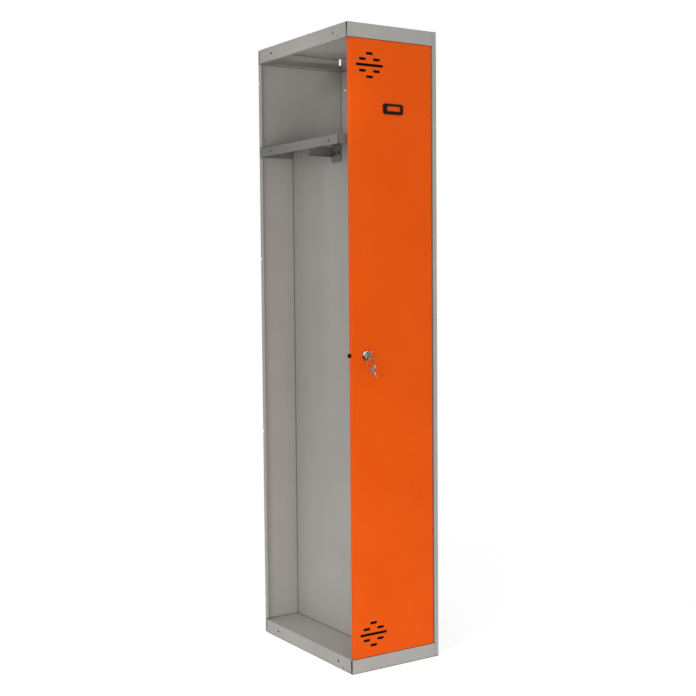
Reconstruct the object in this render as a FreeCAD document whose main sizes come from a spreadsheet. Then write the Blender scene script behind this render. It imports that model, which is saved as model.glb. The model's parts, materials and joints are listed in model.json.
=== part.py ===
import FreeCAD, Part
import math
import os
import Sketcher

# Single locker, an add-on unit of a row: folded sheet carcass that is open on its left side, where the
# neighbouring unit's wall closes it, and one hinged door with a cam lock.
# Millimetres. The origin is the centre of the footprint on the floor, the door faces -Y, +Z is up.

Vector = FreeCAD.Vector
Rotation = FreeCAD.Rotation

SIZES = [
    # overall
    ("width", 300),
    ("depth", 500),
    ("height", 1800),
    ("sheet", 1.0),
    ("bend_radius", 0.8),
    ("seam", 0.8),
    # top and bottom trays
    ("tray_flange", 40),
    ("tray_lip", 20),
    ("tray_side_lip", 12),
    ("corner_gap", 8),
    ("tray_hole", 8),
    ("tray_hole_front", 75),
    ("tray_hole_rear", 80),
    ("locating_hole", 5),
    ("locating_front", 50),
    ("locating_rise", 8),
    # right side panel with its front post
    ("post_width", 13),
    ("post_return", 15),
    ("side_rear_lip", 18),
    ("corner_relief", 20),
    ("joining_hole", 7),
    ("joining_inset", 25),
    # back panel
    ("back_return", 17),
    ("return_gap", 5),
    ("tab_notch_width", 4),
    ("tab_notch_height", 7),
    ("tab_notch_end", 100),
    ("back_rivet_inset", 75),
    # hat shelf
    ("shelf_drop", 297),
    ("shelf_flange", 26),
    ("shelf_setback", 45),
    ("shelf_hole", 7),
    ("shelf_hole_front", 100),
    ("shelf_hole_rear", 68),
    # partition under the shelf
    ("left_bay", 118),
    ("partition_gap", 1.5),
    ("partition_flange", 18),
    ("partition_front_flange", 12),
    ("partition_rivet_inset", 70),
    # coat hooks
    ("hook_setback", 217),
    ("hook_tab_width", 53),
    ("hook_tab_height", 50),
    ("hook_tab_corner", 6),
    ("hook_drop", 4),
    ("hook_plate", 2),
    ("hook_reach", 84),
    ("hook_arm_height", 28),
    ("hook_arm_rise", 16),
    ("hook_lip", 7),
    ("hook_seat_radius", 8),
    ("hook_seat_inset", 20),
    ("hook_tip_radius", 5),
    ("hook_bolt_inset", 13),
    ("hook_bolt_spacing", 22),
    # bolts, nuts and rivets
    ("bolt_diameter", 6),
    ("bolt_hole", 6.4),
    ("bolt_head", 10),
    ("bolt_head_height", 4),
    ("bolt_spare", 1.5),
    ("nut_width", 10),
    ("nut_height", 5),
    ("thread_play", 0.05),
    ("rivet_diameter", 4),
    ("rivet_head", 8),
    ("rivet_head_height", 1.4),
    ("rivet_crown_share", 0.6),
    ("rivet_tail", 6),
    ("rivet_tail_height", 2),
    ("rivet_play", 0.1),
    # door
    ("door_latch_gap", 6),
    ("door_hinge_gap", 6),
    ("door_end_gap", 1.5),
    ("door_depth", 13),
    ("door_lip", 10),
    ("stiffener_inset", 64.5),
    ("stiffener_width", 40),
    ("stiffener_foot", 12),
    ("stiffener_depth", 9),
    ("stiffener_end", 60),
    # vents
    ("vent_centre", 71.5),
    ("vent_top", 112),
    ("vent_bottom", 105),
    ("vent_long", 90),
    ("vent_short", 23),
    ("vent_height", 7.5),
    ("vent_row", 15.8),
    ("vent_column", 46.5),
    ("gauze_thick", 0.8),
    ("gauze_margin", 8),
    # hinge pivots
    ("pivot_inset", 8.5),
    ("pivot_depth", 7),
    ("pin_diameter", 7),
    ("pin_play", 0.05),
    ("pin_reach", 10),
    ("pin_head", 8.4),
    ("pin_head_height", 3),
    ("bush_wall", 2),
    ("bush_flange", 13),
    ("bush_flange_height", 1.2),
    ("bush_length", 9),
    ("hinge_plate", 2.5),
    ("hinge_plate_length", 30),
    ("hinge_plate_rise", 25),
    # card holder
    ("card_centre", 148.5),
    ("card_drop", 227),
    ("card_width", 66),
    ("card_tall", 28),
    ("card_thick", 4),
    ("card_corner", 4),
    ("card_edge", 0.8),
    ("window_width", 47.5),
    ("window_tall", 15),
    ("window_shift", 2),
    ("window_rise", 1),
    ("card_slot", 1.2),
    ("card_slot_margin", 2.5),
    ("card_rivet", 3.2),
    ("card_rivet_head", 5.6),
    ("card_rivet_inset", 4.5),
    # lock
    ("lock_side", 54),
    ("lock_height", 891.5),
    ("lock_head", 27.5),
    ("lock_head_rim", 1.6),
    ("lock_head_height", 5.5),
    ("lock_head_crown", 22),
    ("lock_recess", 19.2),
    ("lock_recess_depth", 3),
    ("lock_barrel", 18.6),
    ("lock_flats", 16),
    ("lock_length", 16),
    ("lock_play", 0.2),
    ("lock_washer", 27),
    ("lock_washer_height", 1),
    ("lock_nut_width", 24),
    ("lock_nut_height", 4),
    ("plug_diameter", 13),
    ("plug_play", 0.05),
    ("plug_face", 16),
    ("plug_face_gap", 0.4),
    ("plug_sink", 0.5),
    ("keyway_play", 0.3),
    ("keyway_floor", 0.5),
    # cam
    ("cam_reach", 50),
    ("cam_width", 11),
    ("cam_hub", 19),
    ("cam_thick", 2.5),
    ("cam_gap", 0.4),
    ("cam_square", 8),
    ("cam_square_play", 0.05),
    ("cam_tip_radius", 3),
    ("cam_notch", 12.5),
    ("cam_notch_front", 2.5),
    ("cam_screw", 4),
    ("cam_screw_grip", 3),
    ("cam_screw_head", 11),
    ("cam_screw_head_height", 2.8),
    ("cam_screw_socket", 4),
    ("cam_screw_socket_depth", 1.6),
    # keys and their ring
    ("key_thick", 2),
    ("key_blade_width", 7),
    ("key_blade_length", 18.5),
    ("key_insert", 12.5),
    ("key_cut_pitch", 1.85),
    ("key_cut_shallow", 0.9),
    ("key_cut_deep", 1.9),
    ("key_bow_width", 29),
    ("key_bow_length", 21),
    ("key_bow_corner", 7),
    ("key_slot_length", 18),
    ("key_slot_width", 4.4),
    ("key_slot_inset", 5),
    ("ring_diameter", 29),
    ("ring_wire", 1.6),
    ("ring_play", 0.12),
]

doc = FreeCAD.newDocument("locker")
sheet = doc.addObject("Spreadsheet::Sheet", "Sizes")
for row, (alias, number) in enumerate(SIZES, start=1):
    sheet.set("A%d" % row, alias)
    sheet.set("B%d" % row, str(number))
    sheet.setAlias("B%d" % row, alias)
doc.recompute()

# Places that several pieces share, as expressions on the sheet
LEFT = "(-Sizes.width / 2)"
RIGHT = "(Sizes.width / 2)"
FRONT = "(-Sizes.depth / 2)"
REAR = "(Sizes.depth / 2)"
FLOOR_TOP = "Sizes.tray_flange"
CEILING = "(Sizes.height - Sizes.tray_flange)"
SIDE_INNER = f"({RIGHT} - Sizes.sheet)"
POST_LEFT = f"({RIGHT} - Sizes.post_width)"
POST_REAR = f"({FRONT} + Sizes.post_return)"
BACK_OUTER = f"({REAR} - Sizes.sheet)"
BACK_INNER = f"({BACK_OUTER} - Sizes.sheet)"
TRAY_HOLES = [f"({FRONT} + Sizes.tray_hole_front)", f"({REAR} - Sizes.tray_hole_rear)"]
TRAY_HOLE_RISES = ["(Sizes.tray_flange / 2)", f"({CEILING} + Sizes.tray_flange / 2)"]
LOCATING_FRONT = f"({FRONT} + Sizes.locating_front)"
SHELF_TOP = "(Sizes.height - Sizes.shelf_drop)"
SHELF_LOW = f"({SHELF_TOP} - Sizes.shelf_flange)"
SHELF_UNDER = f"({SHELF_TOP} - Sizes.sheet)"
SHELF_FRONT = f"({FRONT} + Sizes.shelf_setback)"
SHELF_HOLES = [f"({FRONT} + Sizes.shelf_hole_front)", f"({REAR} - Sizes.shelf_hole_rear)"]
SHELF_HOLE_RISE = f"({SHELF_TOP} - Sizes.shelf_flange / 2)"
WALL_LEFT = f"({LEFT} + Sizes.left_bay)"
WALL_RIGHT = f"({WALL_LEFT} + Sizes.sheet)"
WALL_FRONT = f"({SHELF_FRONT} + Sizes.sheet + Sizes.partition_gap)"
WALL_NOTCH_REAR = f"({BACK_INNER} - Sizes.sheet - Sizes.partition_gap)"
WALL_NOTCH_LOW = f"({SHELF_LOW} - Sizes.partition_gap)"
WALL_RIVET_X = f"({WALL_LEFT} + Sizes.partition_flange / 2 + Sizes.sheet)"
WALL_RIVET_FRONT = f"({WALL_FRONT} + Sizes.partition_rivet_inset)"
WALL_RIVET_REAR = f"({BACK_INNER} - Sizes.partition_rivet_inset)"
HOOK_FRONT = f"({FRONT} + Sizes.hook_setback)"
HOOK_REAR = f"({HOOK_FRONT} + Sizes.hook_tab_width)"
HOOK_TOP = f"({SHELF_UNDER} - Sizes.sheet - Sizes.hook_drop)"
HOOK_LOW = f"({HOOK_TOP} - Sizes.hook_tab_height)"
HOOK_MIDDLE = f"({HOOK_LOW} + Sizes.hook_tab_height / 2)"
HOOK_BOLTS = [
    f"({HOOK_FRONT} + Sizes.hook_bolt_inset)",
    f"({HOOK_FRONT} + Sizes.hook_bolt_inset + Sizes.hook_bolt_spacing)",
]
DOOR_LEFT = f"({LEFT} + Sizes.door_latch_gap)"
DOOR_RIGHT = f"({POST_LEFT} - Sizes.door_hinge_gap)"
DOOR_BACK = f"({FRONT} + Sizes.door_depth)"
DOOR_INNER = f"({FRONT} + Sizes.sheet)"
DOOR_BOTTOM = f"({FLOOR_TOP} + Sizes.door_end_gap)"
DOOR_TOP = f"({CEILING} - Sizes.door_end_gap)"
PIVOT_X = f"({DOOR_RIGHT} - Sizes.pivot_inset)"
PIVOT_Y = f"({FRONT} + Sizes.pivot_depth)"
BUSH_BORE = "(Sizes.pin_diameter / 2 + Sizes.pin_play)"
BUSH_RADIUS = f"({BUSH_BORE} + Sizes.bush_wall)"
LOCK_X = f"({LEFT} + Sizes.lock_side)"
LOCK_Z = "Sizes.lock_height"
VENT_X = f"({LEFT} + Sizes.vent_centre)"
UPPER_VENT = "(Sizes.height - Sizes.vent_top)"
LOWER_VENT = "Sizes.vent_bottom"
CARD_X = f"({LEFT} + Sizes.card_centre)"
CARD_Z = "(Sizes.height - Sizes.card_drop)"
CARD_RIVET_REACH = "(Sizes.card_width / 2 - Sizes.card_rivet_inset)"
BOLT_BORE = "(Sizes.bolt_diameter / 2 + Sizes.thread_play)"
RIVET_BORE = "(Sizes.rivet_diameter / 2 + Sizes.rivet_play)"
NOTCH_PITCH = "((Sizes.height - 2 * Sizes.tab_notch_end) / 3)"
NOTCH_HEIGHTS = [f"(Sizes.tab_notch_end + {step} * {NOTCH_PITCH})" for step in range(4)]

# Directions of a fastener's or the lock's own axis
FACE_FRONT = Rotation(Vector(1, 0, 0), 90)
FACE_REAR = Rotation(Vector(1, 0, 0), -90)
FACE_RIGHT = Rotation(Vector(0, 1, 0), 90)
FACE_LEFT = Rotation(Vector(0, 1, 0), -90)
FACE_UP = Rotation()
FACE_DOWN = Rotation(Vector(1, 0, 0), 180)

TOUCH = 1e-4
FULL_TURN = 360
PAST = "Sizes.sheet"

parts = []


def value(expression):
    return float(sheet.evalExpression(expression))


def keep(piece, label):
    """Name a finished sub-part and put it on the list of those that are written."""
    piece.Label = label
    parts.append(piece)
    return piece


def rectangle(x0, x1, y0, y1):
    return [(x0, y0), (x1, y0), (x1, y1), (x0, y1)]


def hexagon(width):
    """Corners of a hexagon about the axis, from its width across the flats."""
    radius = f"({width} / sqrt(3))"
    half = f"({radius} / 2)"
    flat = f"({width} / 2)"
    return [
        (radius, "0"),
        (half, flat),
        (f"(-{half})", flat),
        (f"(-{radius})", "0"),
        (f"(-{half})", f"(-{flat})"),
        (half, f"(-{flat})"),
    ]


def folded(path, side, gauge="Sizes.sheet"):
    """Closed outline of a folded strip: a path of square bends, and the same path one gauge to its side."""
    turn = 1 if side == "left" else -1
    numbers = [(value(x), value(y)) for x, y in path]
    normals = []
    for (x0, y0), (x1, y1) in zip(numbers, numbers[1:]):
        length = math.hypot(x1 - x0, y1 - y0)
        normals.append((-turn * round((y1 - y0) / length), turn * round((x1 - x0) / length)))
    inner = []
    for place, (x, y) in enumerate(path):
        near = {normals[max(place - 1, 0)], normals[min(place, len(normals) - 1)]}
        across = sum(normal[0] for normal in near)
        along = sum(normal[1] for normal in near)
        inner.append((f"({x} + {across} * {gauge})", f"({y} + {along} * {gauge})"))
    return path + inner[::-1]


class Outline:
    """One sketch of a body, with every corner, centre and radius bound to the sheet."""

    def __init__(self, body, plane, place):
        self.sketch = body.newObject("Sketcher::SketchObject", "Sketch")
        origin_plane = [item for item in body.Origin.OriginFeatures if item.Role == plane + "_Plane"][0]
        self.sketch.AttachmentSupport = [(origin_plane, "")]
        self.sketch.MapMode = "FlatFace"
        along_normal = f"-({place})" if plane == "XZ" else place
        self.sketch.setExpression("AttachmentOffset.Base.z", along_normal)
        self.geometry = []
        self.constraints = []
        self.bindings = []

    def join(self, kind, *where):
        self.constraints.append(Sketcher.Constraint(kind, *where))

    def bind(self, kind, where, expression):
        self.bindings.append((len(self.constraints), expression))
        self.constraints.append(Sketcher.Constraint(kind, *where, value(expression)))

    def hold(self, element, point, x, y):
        self.bind("DistanceX", (-1, 1, element, point), x)
        self.bind("DistanceY", (-1, 1, element, point), y)

    def loop(self, points):
        first = len(self.geometry)
        corners = [Vector(value(x), value(y), 0) for x, y in points]
        following = corners[1:] + corners[:1]
        for start, end in zip(corners, following):
            self.geometry.append(Part.LineSegment(start, end))
        for place, (x, y) in enumerate(points):
            after = (place + 1) % len(points)
            self.join("Coincident", first + place, 2, first + after, 1)
            self.hold(first + place, 1, x, y)

    def circle(self, x, y, radius):
        element = len(self.geometry)
        self.geometry.append(Part.Circle(Vector(value(x), value(y), 0), Vector(0, 0, 1), value(radius)))
        self.hold(element, 3, x, y)
        self.bind("Radius", (element,), radius)

    def slot(self, start, end, radius):
        """A round-ended slot between two centres, each an (x, y) pair of expressions."""
        first = len(self.geometry)
        centres = [Vector(value(x), value(y), 0) for x, y in (start, end)]
        lean = math.atan2(centres[1].y - centres[0].y, centres[1].x - centres[0].x)
        size = value(radius)
        half = math.pi / 2
        rounds = [Part.Circle(centre, Vector(0, 0, 1), size) for centre in centres]
        near = Part.ArcOfCircle(rounds[0], lean + half, lean + 3 * half)
        far = Part.ArcOfCircle(rounds[1], lean - half, lean + half)
        self.geometry += [near, far]
        self.geometry.append(Part.LineSegment(near.StartPoint, far.EndPoint))
        self.geometry.append(Part.LineSegment(near.EndPoint, far.StartPoint))
        self.join("Tangent", first + 2, 1, first, 1)
        self.join("Tangent", first + 2, 2, first + 1, 2)
        self.join("Tangent", first + 3, 1, first, 2)
        self.join("Tangent", first + 3, 2, first + 1, 1)
        self.hold(first, 3, *start)
        self.hold(first + 1, 3, *end)
        self.bind("Radius", (first,), radius)

    def double_d(self, x, y, radius, half_flats):
        """A circle cut off by two flats, left and right of its centre."""
        first = len(self.geometry)
        centre = Vector(value(x), value(y), 0)
        lean = math.acos(value(half_flats) / value(radius))
        whole = Part.Circle(centre, Vector(0, 0, 1), value(radius))
        upper = Part.ArcOfCircle(whole, lean, math.pi - lean)
        lower = Part.ArcOfCircle(whole, math.pi + lean, 2 * math.pi - lean)
        self.geometry += [upper, lower]
        self.geometry.append(Part.LineSegment(upper.EndPoint, lower.StartPoint))
        self.geometry.append(Part.LineSegment(lower.EndPoint, upper.StartPoint))
        self.join("Coincident", first + 2, 1, first, 2)
        self.join("Coincident", first + 2, 2, first + 1, 1)
        self.join("Coincident", first + 3, 1, first + 1, 2)
        self.join("Coincident", first + 3, 2, first, 1)
        for arc, right_end, left_end in ((first, 1, 2), (first + 1, 2, 1)):
            self.hold(arc, 3, x, y)
            self.bind("Radius", (arc,), radius)
            self.bind("DistanceX", (-1, 1, arc, right_end), f"({x} + {half_flats})")
            self.bind("DistanceX", (-1, 1, arc, left_end), f"({x} - {half_flats})")

    def close(self):
        self.sketch.addGeometry(self.geometry, False)
        self.sketch.addConstraint(self.constraints)
        for number, expression in self.bindings:
            self.sketch.setExpression("Constraints[%d]" % number, expression)
        return self.sketch


def draw(body, plane, place, shapes):
    """Make one sketch from (kind, measures...) entries, where kind is a method of Outline."""
    outline = Outline(body, plane, place)
    for kind, *measures in shapes:
        getattr(outline, kind)(*measures)
    return outline.close()


def new_body(label=None):
    body = doc.addObject("PartDesign::Body", "Body")
    if label:
        keep(body, label)
    return body


def pad(body, plane, shapes, start, end):
    """Raise the shapes from start to end, both given on the axis that crosses the plane."""
    sketch = draw(body, plane, end if plane == "XZ" else start, shapes)
    feature = body.newObject("PartDesign::Pad", "Pad")
    feature.Profile = sketch
    feature.setExpression("Length", f"{end} - {start}")
    return feature


def cut(body, plane, shapes, start, end):
    """Remove the shapes between start and end, both given on the axis that crosses the plane."""
    sketch = draw(body, plane, start if plane == "XZ" else end, shapes)
    feature = body.newObject("PartDesign::Pocket", "Pocket")
    feature.Profile = sketch
    feature.Type = "Length"
    feature.setExpression("Length", f"{end} - {start}")
    return feature


def turned(profile, label=None):
    """A body of revolution about its own Z axis, from corners given as (radius, height)."""
    body = new_body(label)
    sketch = draw(body, "XZ", "0", [("loop", profile)])
    feature = body.newObject("PartDesign::Revolution", "Revolution")
    feature.Profile = sketch
    feature.ReferenceAxis = (sketch, ["V_Axis"])
    feature.Angle = FULL_TURN
    return body


def edges_on(body, lines):
    """Names of the edges whose ends all lie on one of the lines, such as {"y": place, "z": place}."""
    names = []
    for number, edge in enumerate(body.Tip.Shape.Edges, start=1):
        for line in lines:
            targets = [(axis, value(at)) for axis, at in line.items()]
            gaps = [abs(getattr(v.Point, axis) - at) for v in edge.Vertexes for axis, at in targets]
            if max(gaps) < TOUCH:
                names.append("Edge%d" % number)
                break
    return names


def round_edges(body, radius, lines):
    doc.recompute()
    base = body.Tip
    names = edges_on(body, lines)
    feature = body.newObject("PartDesign::Fillet", "Fillet")
    feature.Base = (base, names)
    feature.setExpression("Radius", radius)
    return feature


def chamfer_edges(body, size, lines):
    doc.recompute()
    base = body.Tip
    names = edges_on(body, lines)
    feature = body.newObject("PartDesign::Chamfer", "Chamfer")
    feature.Base = (base, names)
    feature.setExpression("Size", size)
    return feature


def place(piece, x, y, z, rotation):
    piece.Placement = FreeCAD.Placement(Vector(), rotation)
    for axis, expression in (("x", x), ("y", y), ("z", z)):
        piece.setExpression("Placement.Base." + axis, expression)
    return piece


def group(label, stations):
    """One node of separate, equal solids: each station is (master body, x, y, z, rotation)."""
    copies = []
    for master, x, y, z, rotation in stations:
        copy = doc.addObject("App::Link", "Copy")
        copy.LinkedObject = master
        copy.LinkTransform = False
        copies.append(place(copy, x, y, z, rotation))
    compound = doc.addObject("Part::Compound", "Group")
    compound.Links = copies
    return keep(compound, label)


def mirrored(label, source, axis, at):
    """The mirror image of a sub-part across a plane square to one axis."""
    image = doc.addObject("Part::Mirroring", "Mirrored")
    image.Source = source
    image.Normal = Vector(*[float(letter == axis) for letter in "xyz"])
    image.setExpression("Base." + axis, at)
    return keep(image, label)


def pan(label, front, low, high, lip, side_lip, right_start):
    """A sheet pan, open downwards: panel on top, four flanges with open corners and, if asked, lips."""
    body = new_body(label)
    section = [(front, low), (front, high), (BACK_INNER, high), (BACK_INNER, low)]
    left_section = [(LEFT, low), (LEFT, high)]
    right_section = [(SIDE_INNER, low), (SIDE_INNER, high)]
    if lip:
        section = [(f"({front} + {lip})", low)] + section + [(f"({BACK_INNER} - {lip})", low)]
        left_section = [(f"({LEFT} + {side_lip})", low)] + left_section
        right_section = [(f"({SIDE_INNER} - {side_lip})", low)] + right_section
    flange_front = f"({front} + Sizes.sheet + Sizes.corner_gap)"
    flange_rear = f"({BACK_INNER} - Sizes.corner_gap)"
    pad(body, "YZ", [("loop", folded(section, "right"))], LEFT, SIDE_INNER)
    pad(body, "XZ", [("loop", folded(left_section, "right"))], flange_front, flange_rear)
    pad(body, "XZ", [("loop", folded(right_section, "left"))], right_start, flange_rear)
    relief_left = f"({LEFT} + Sizes.corner_gap)"
    relief_right = f"({SIDE_INNER} - Sizes.corner_gap)"
    past_rear = f"({BACK_INNER} + {PAST})"
    reliefs = [
        ("loop", rectangle(f"({LEFT} - {PAST})", relief_left, flange_rear, past_rear)),
        ("loop", rectangle(relief_right, f"({SIDE_INNER} + {PAST})", flange_rear, past_rear)),
    ]
    cut(body, "XY", reliefs, f"({low} - {PAST})", f"({high} + {PAST})")
    return body


def holes_at(places, height, size):
    """Round holes at several depths and one height of an upright sheet."""
    return [("circle", y, height, f"{size} / 2") for y in places]


def drill_flanges(body, open_side, wall_side):
    """Holes in a pan's side flanges: the neighbour's on the open side, the bolts' on the wall side."""
    cut(body, "YZ", open_side, f"({LEFT} - {PAST})", f"({LEFT} + Sizes.sheet + {PAST})")
    cut(body, "YZ", wall_side, f"({SIDE_INNER} - Sizes.sheet - {PAST})", f"({SIDE_INNER} + {PAST})")


def tray(label, low, bush_at):
    """Floor or ceiling of the carcass, notched for the front post and bored for a hinge bush at one level."""
    high = f"({low} + Sizes.tray_flange)"
    middle = f"({low} + Sizes.tray_flange / 2)"
    notch_left = f"({POST_LEFT} - Sizes.seam)"
    notch_rear = f"({POST_REAR} + Sizes.seam)"
    body = pan(label, FRONT, low, high, "Sizes.tray_lip", "Sizes.tray_side_lip", notch_rear)
    notch = rectangle(notch_left, f"({SIDE_INNER} + {PAST})", f"({FRONT} - {PAST})", notch_rear)
    cut(body, "XY", [("loop", notch)], f"({low} - {PAST})", f"({high} + {PAST})")
    open_side = holes_at(TRAY_HOLES, middle, "Sizes.tray_hole")
    open_side += holes_at([LOCATING_FRONT], f"({low} + Sizes.locating_rise)", "Sizes.locating_hole")
    drill_flanges(body, open_side, holes_at(TRAY_HOLES, middle, "Sizes.bolt_hole"))
    rivet_holes = [("circle", f"({side} * Sizes.back_rivet_inset)", middle, RIVET_BORE) for side in (-1, 1)]
    cut(body, "XZ", rivet_holes, f"({BACK_INNER} - 2 * Sizes.sheet)", f"({BACK_INNER} + {PAST})")
    bush_low = f"({bush_at} - 2 * Sizes.sheet)"
    bush_high = f"({bush_at} + 2 * Sizes.sheet)"
    cut(body, "XY", [("circle", PIVOT_X, PIVOT_Y, BUSH_RADIUS)], bush_low, bush_high)
    bends = [{"y": FRONT, "z": high}, {"y": FRONT, "z": low}]
    return body, high, bends


def make_trays():
    bottom, floor, bends = tray("bottom_tray", "0", FLOOR_TOP)
    wall_rivets = [("circle", WALL_RIVET_X, y, RIVET_BORE) for y in (WALL_RIVET_FRONT, WALL_RIVET_REAR)]
    cut(bottom, "XY", wall_rivets, f"({floor} - 2 * Sizes.sheet)", f"({floor} + {PAST})")
    round_edges(bottom, "Sizes.bend_radius", bends[:1])
    top, ceiling, bends = tray("top_tray", CEILING, CEILING)
    round_edges(top, "Sizes.bend_radius", bends)


def make_side_panel():
    """Right wall: front post, full-height sheet and rear lip, folded from one sheet."""
    body = new_body("right_side_panel")
    lip_left = f"({RIGHT} - Sizes.side_rear_lip)"
    section = [(POST_LEFT, POST_REAR), (POST_LEFT, FRONT), (RIGHT, FRONT), (RIGHT, REAR), (lip_left, REAR)]
    pad(body, "XY", [("loop", folded(section, "left"))], "0", "Sizes.height")
    past_top = f"(Sizes.height + {PAST})"
    past_left = f"({lip_left} - {PAST})"
    relief_top = "(Sizes.height - Sizes.corner_relief)"
    reliefs = [
        ("loop", rectangle(past_left, SIDE_INNER, relief_top, past_top)),
        ("loop", rectangle(past_left, SIDE_INNER, f"(-{PAST})", "Sizes.corner_relief")),
    ]
    cut(body, "XZ", reliefs, f"({BACK_OUTER} - {PAST})", f"({REAR} + {PAST})")
    holes = holes_at(SHELF_HOLES, SHELF_HOLE_RISE, "Sizes.bolt_hole")
    for z in NOTCH_HEIGHTS:
        holes += holes_at([f"({REAR} - Sizes.joining_inset)"], z, "Sizes.joining_hole")
    for z in TRAY_HOLE_RISES:
        holes += holes_at(TRAY_HOLES, z, "Sizes.bolt_hole")
    cut(body, "YZ", holes, f"({SIDE_INNER} - {PAST})", f"({RIGHT} + {PAST})")
    round_edges(body, "Sizes.bend_radius", [{"x": POST_LEFT, "y": FRONT}, {"x": RIGHT, "y": FRONT}])


def back_rivet_places():
    """Rivets of the back panel into the trays and the shelf, as (x, z)."""
    columns = [f"({side} * Sizes.back_rivet_inset)" for side in (-1, 1)]
    return [(x, z) for x in columns for z in TRAY_HOLE_RISES + [SHELF_HOLE_RISE]]


def make_back_panel():
    """Rear wall with a return on its open edge, cut back at the trays and the shelf, and notched for the
    neighbouring wall's tabs."""
    body = new_body("back_panel")
    right = f"({SIDE_INNER} - Sizes.seam)"
    step = f"({SIDE_INNER} - Sizes.corner_gap)"
    relief_top = "(Sizes.height - Sizes.corner_relief)"
    outline = [
        (LEFT, "0"), (step, "0"), (step, "Sizes.corner_relief"), (right, "Sizes.corner_relief"),
        (right, relief_top), (step, relief_top), (step, "Sizes.height"), (LEFT, "Sizes.height"),
    ]
    pad(body, "XZ", [("loop", outline)], BACK_INNER, BACK_OUTER)
    return_front = f"({BACK_OUTER} - Sizes.back_return)"
    low = f"({FLOOR_TOP} + Sizes.return_gap)"
    high = f"({CEILING} - Sizes.return_gap)"
    shelf_low = f"({SHELF_LOW} - Sizes.return_gap)"
    shelf_high = f"({SHELF_TOP} + Sizes.return_gap)"
    strip = rectangle(LEFT, f"({LEFT} + Sizes.sheet)", return_front, BACK_OUTER)
    for start, end in ((low, shelf_low), (shelf_high, high)):
        pad(body, "XY", [("loop", strip)], start, end)
    notches = []
    for z in NOTCH_HEIGHTS:
        below = f"({z} - Sizes.tab_notch_height / 2)"
        above = f"({z} + Sizes.tab_notch_height / 2)"
        notch = rectangle(f"({LEFT} - {PAST})", f"({LEFT} + Sizes.tab_notch_width)", below, above)
        notches.append(("loop", notch))
    cut(body, "XZ", notches, f"({BACK_OUTER} - Sizes.tab_notch_width)", f"({BACK_OUTER} + {PAST})")
    rivets = [("circle", x, z, RIVET_BORE) for x, z in back_rivet_places()]
    cut(body, "XZ", rivets, f"({BACK_INNER} - {PAST})", f"({BACK_OUTER} + {PAST})")


def make_shelf():
    flange_start = f"({SHELF_FRONT} + Sizes.sheet + Sizes.corner_gap)"
    body = pan("hat_shelf", SHELF_FRONT, SHELF_LOW, SHELF_TOP, None, None, flange_start)
    open_side = holes_at(SHELF_HOLES, SHELF_HOLE_RISE, "Sizes.shelf_hole")
    drill_flanges(body, open_side, holes_at(SHELF_HOLES, SHELF_HOLE_RISE, "Sizes.bolt_hole"))
    rear = [("circle", f"({side} * Sizes.back_rivet_inset)", SHELF_HOLE_RISE, RIVET_BORE) for side in (-1, 1)]
    cut(body, "XZ", rear, f"({BACK_INNER} - 2 * Sizes.sheet)", f"({BACK_INNER} + {PAST})")
    wall = [("circle", WALL_RIVET_X, y, RIVET_BORE) for y in (WALL_RIVET_FRONT, WALL_RIVET_REAR)]
    cut(body, "XY", wall, f"({SHELF_UNDER} - {PAST})", f"({SHELF_TOP} + {PAST})")
    round_edges(body, "Sizes.bend_radius", [{"y": SHELF_FRONT, "z": SHELF_TOP}])


def make_partition():
    """Upright wall under the shelf, flanged to the right on four edges, notched for the shelf's flange."""
    body = new_body("partition")
    sheet_edge = [
        (WALL_FRONT, FLOOR_TOP), (BACK_INNER, FLOOR_TOP), (BACK_INNER, WALL_NOTCH_LOW),
        (WALL_NOTCH_REAR, WALL_NOTCH_LOW), (WALL_NOTCH_REAR, SHELF_UNDER), (WALL_FRONT, SHELF_UNDER),
    ]
    pad(body, "YZ", [("loop", sheet_edge)], WALL_LEFT, WALL_RIGHT)
    flange = f"({WALL_LEFT} + Sizes.partition_flange)"
    stiff_flange = f"({WALL_LEFT} + Sizes.partition_front_flange)"
    wall_rear = f"({BACK_INNER} - Sizes.sheet)"
    floor_high = f"({FLOOR_TOP} + Sizes.sheet)"
    front_rear = f"({WALL_FRONT} + Sizes.sheet)"
    floor_strip = rectangle(WALL_LEFT, flange, WALL_FRONT, BACK_INNER)
    pad(body, "XY", [("loop", floor_strip)], FLOOR_TOP, floor_high)
    roof_strip = rectangle(WALL_LEFT, flange, WALL_FRONT, WALL_NOTCH_REAR)
    pad(body, "XY", [("loop", roof_strip)], f"({SHELF_UNDER} - Sizes.sheet)", SHELF_UNDER)
    rear_strip = rectangle(WALL_LEFT, flange, wall_rear, BACK_INNER)
    pad(body, "XY", [("loop", rear_strip)], FLOOR_TOP, WALL_NOTCH_LOW)
    front_strip = rectangle(WALL_LEFT, stiff_flange, WALL_FRONT, front_rear)
    pad(body, "XY", [("loop", front_strip)], FLOOR_TOP, SHELF_UNDER)
    level = [("circle", WALL_RIVET_X, y, RIVET_BORE) for y in (WALL_RIVET_FRONT, WALL_RIVET_REAR)]
    cut(body, "XY", level, f"({FLOOR_TOP} - {PAST})", f"({SHELF_TOP} + {PAST})")
    bolts = [("circle", y, HOOK_MIDDLE, BOLT_BORE) for y in HOOK_BOLTS]
    cut(body, "YZ", bolts, f"({WALL_LEFT} - {PAST})", f"({WALL_RIGHT} + {PAST})")
    round_edges(body, "Sizes.bend_radius", [{"x": WALL_LEFT, "y": WALL_FRONT}])


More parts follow.
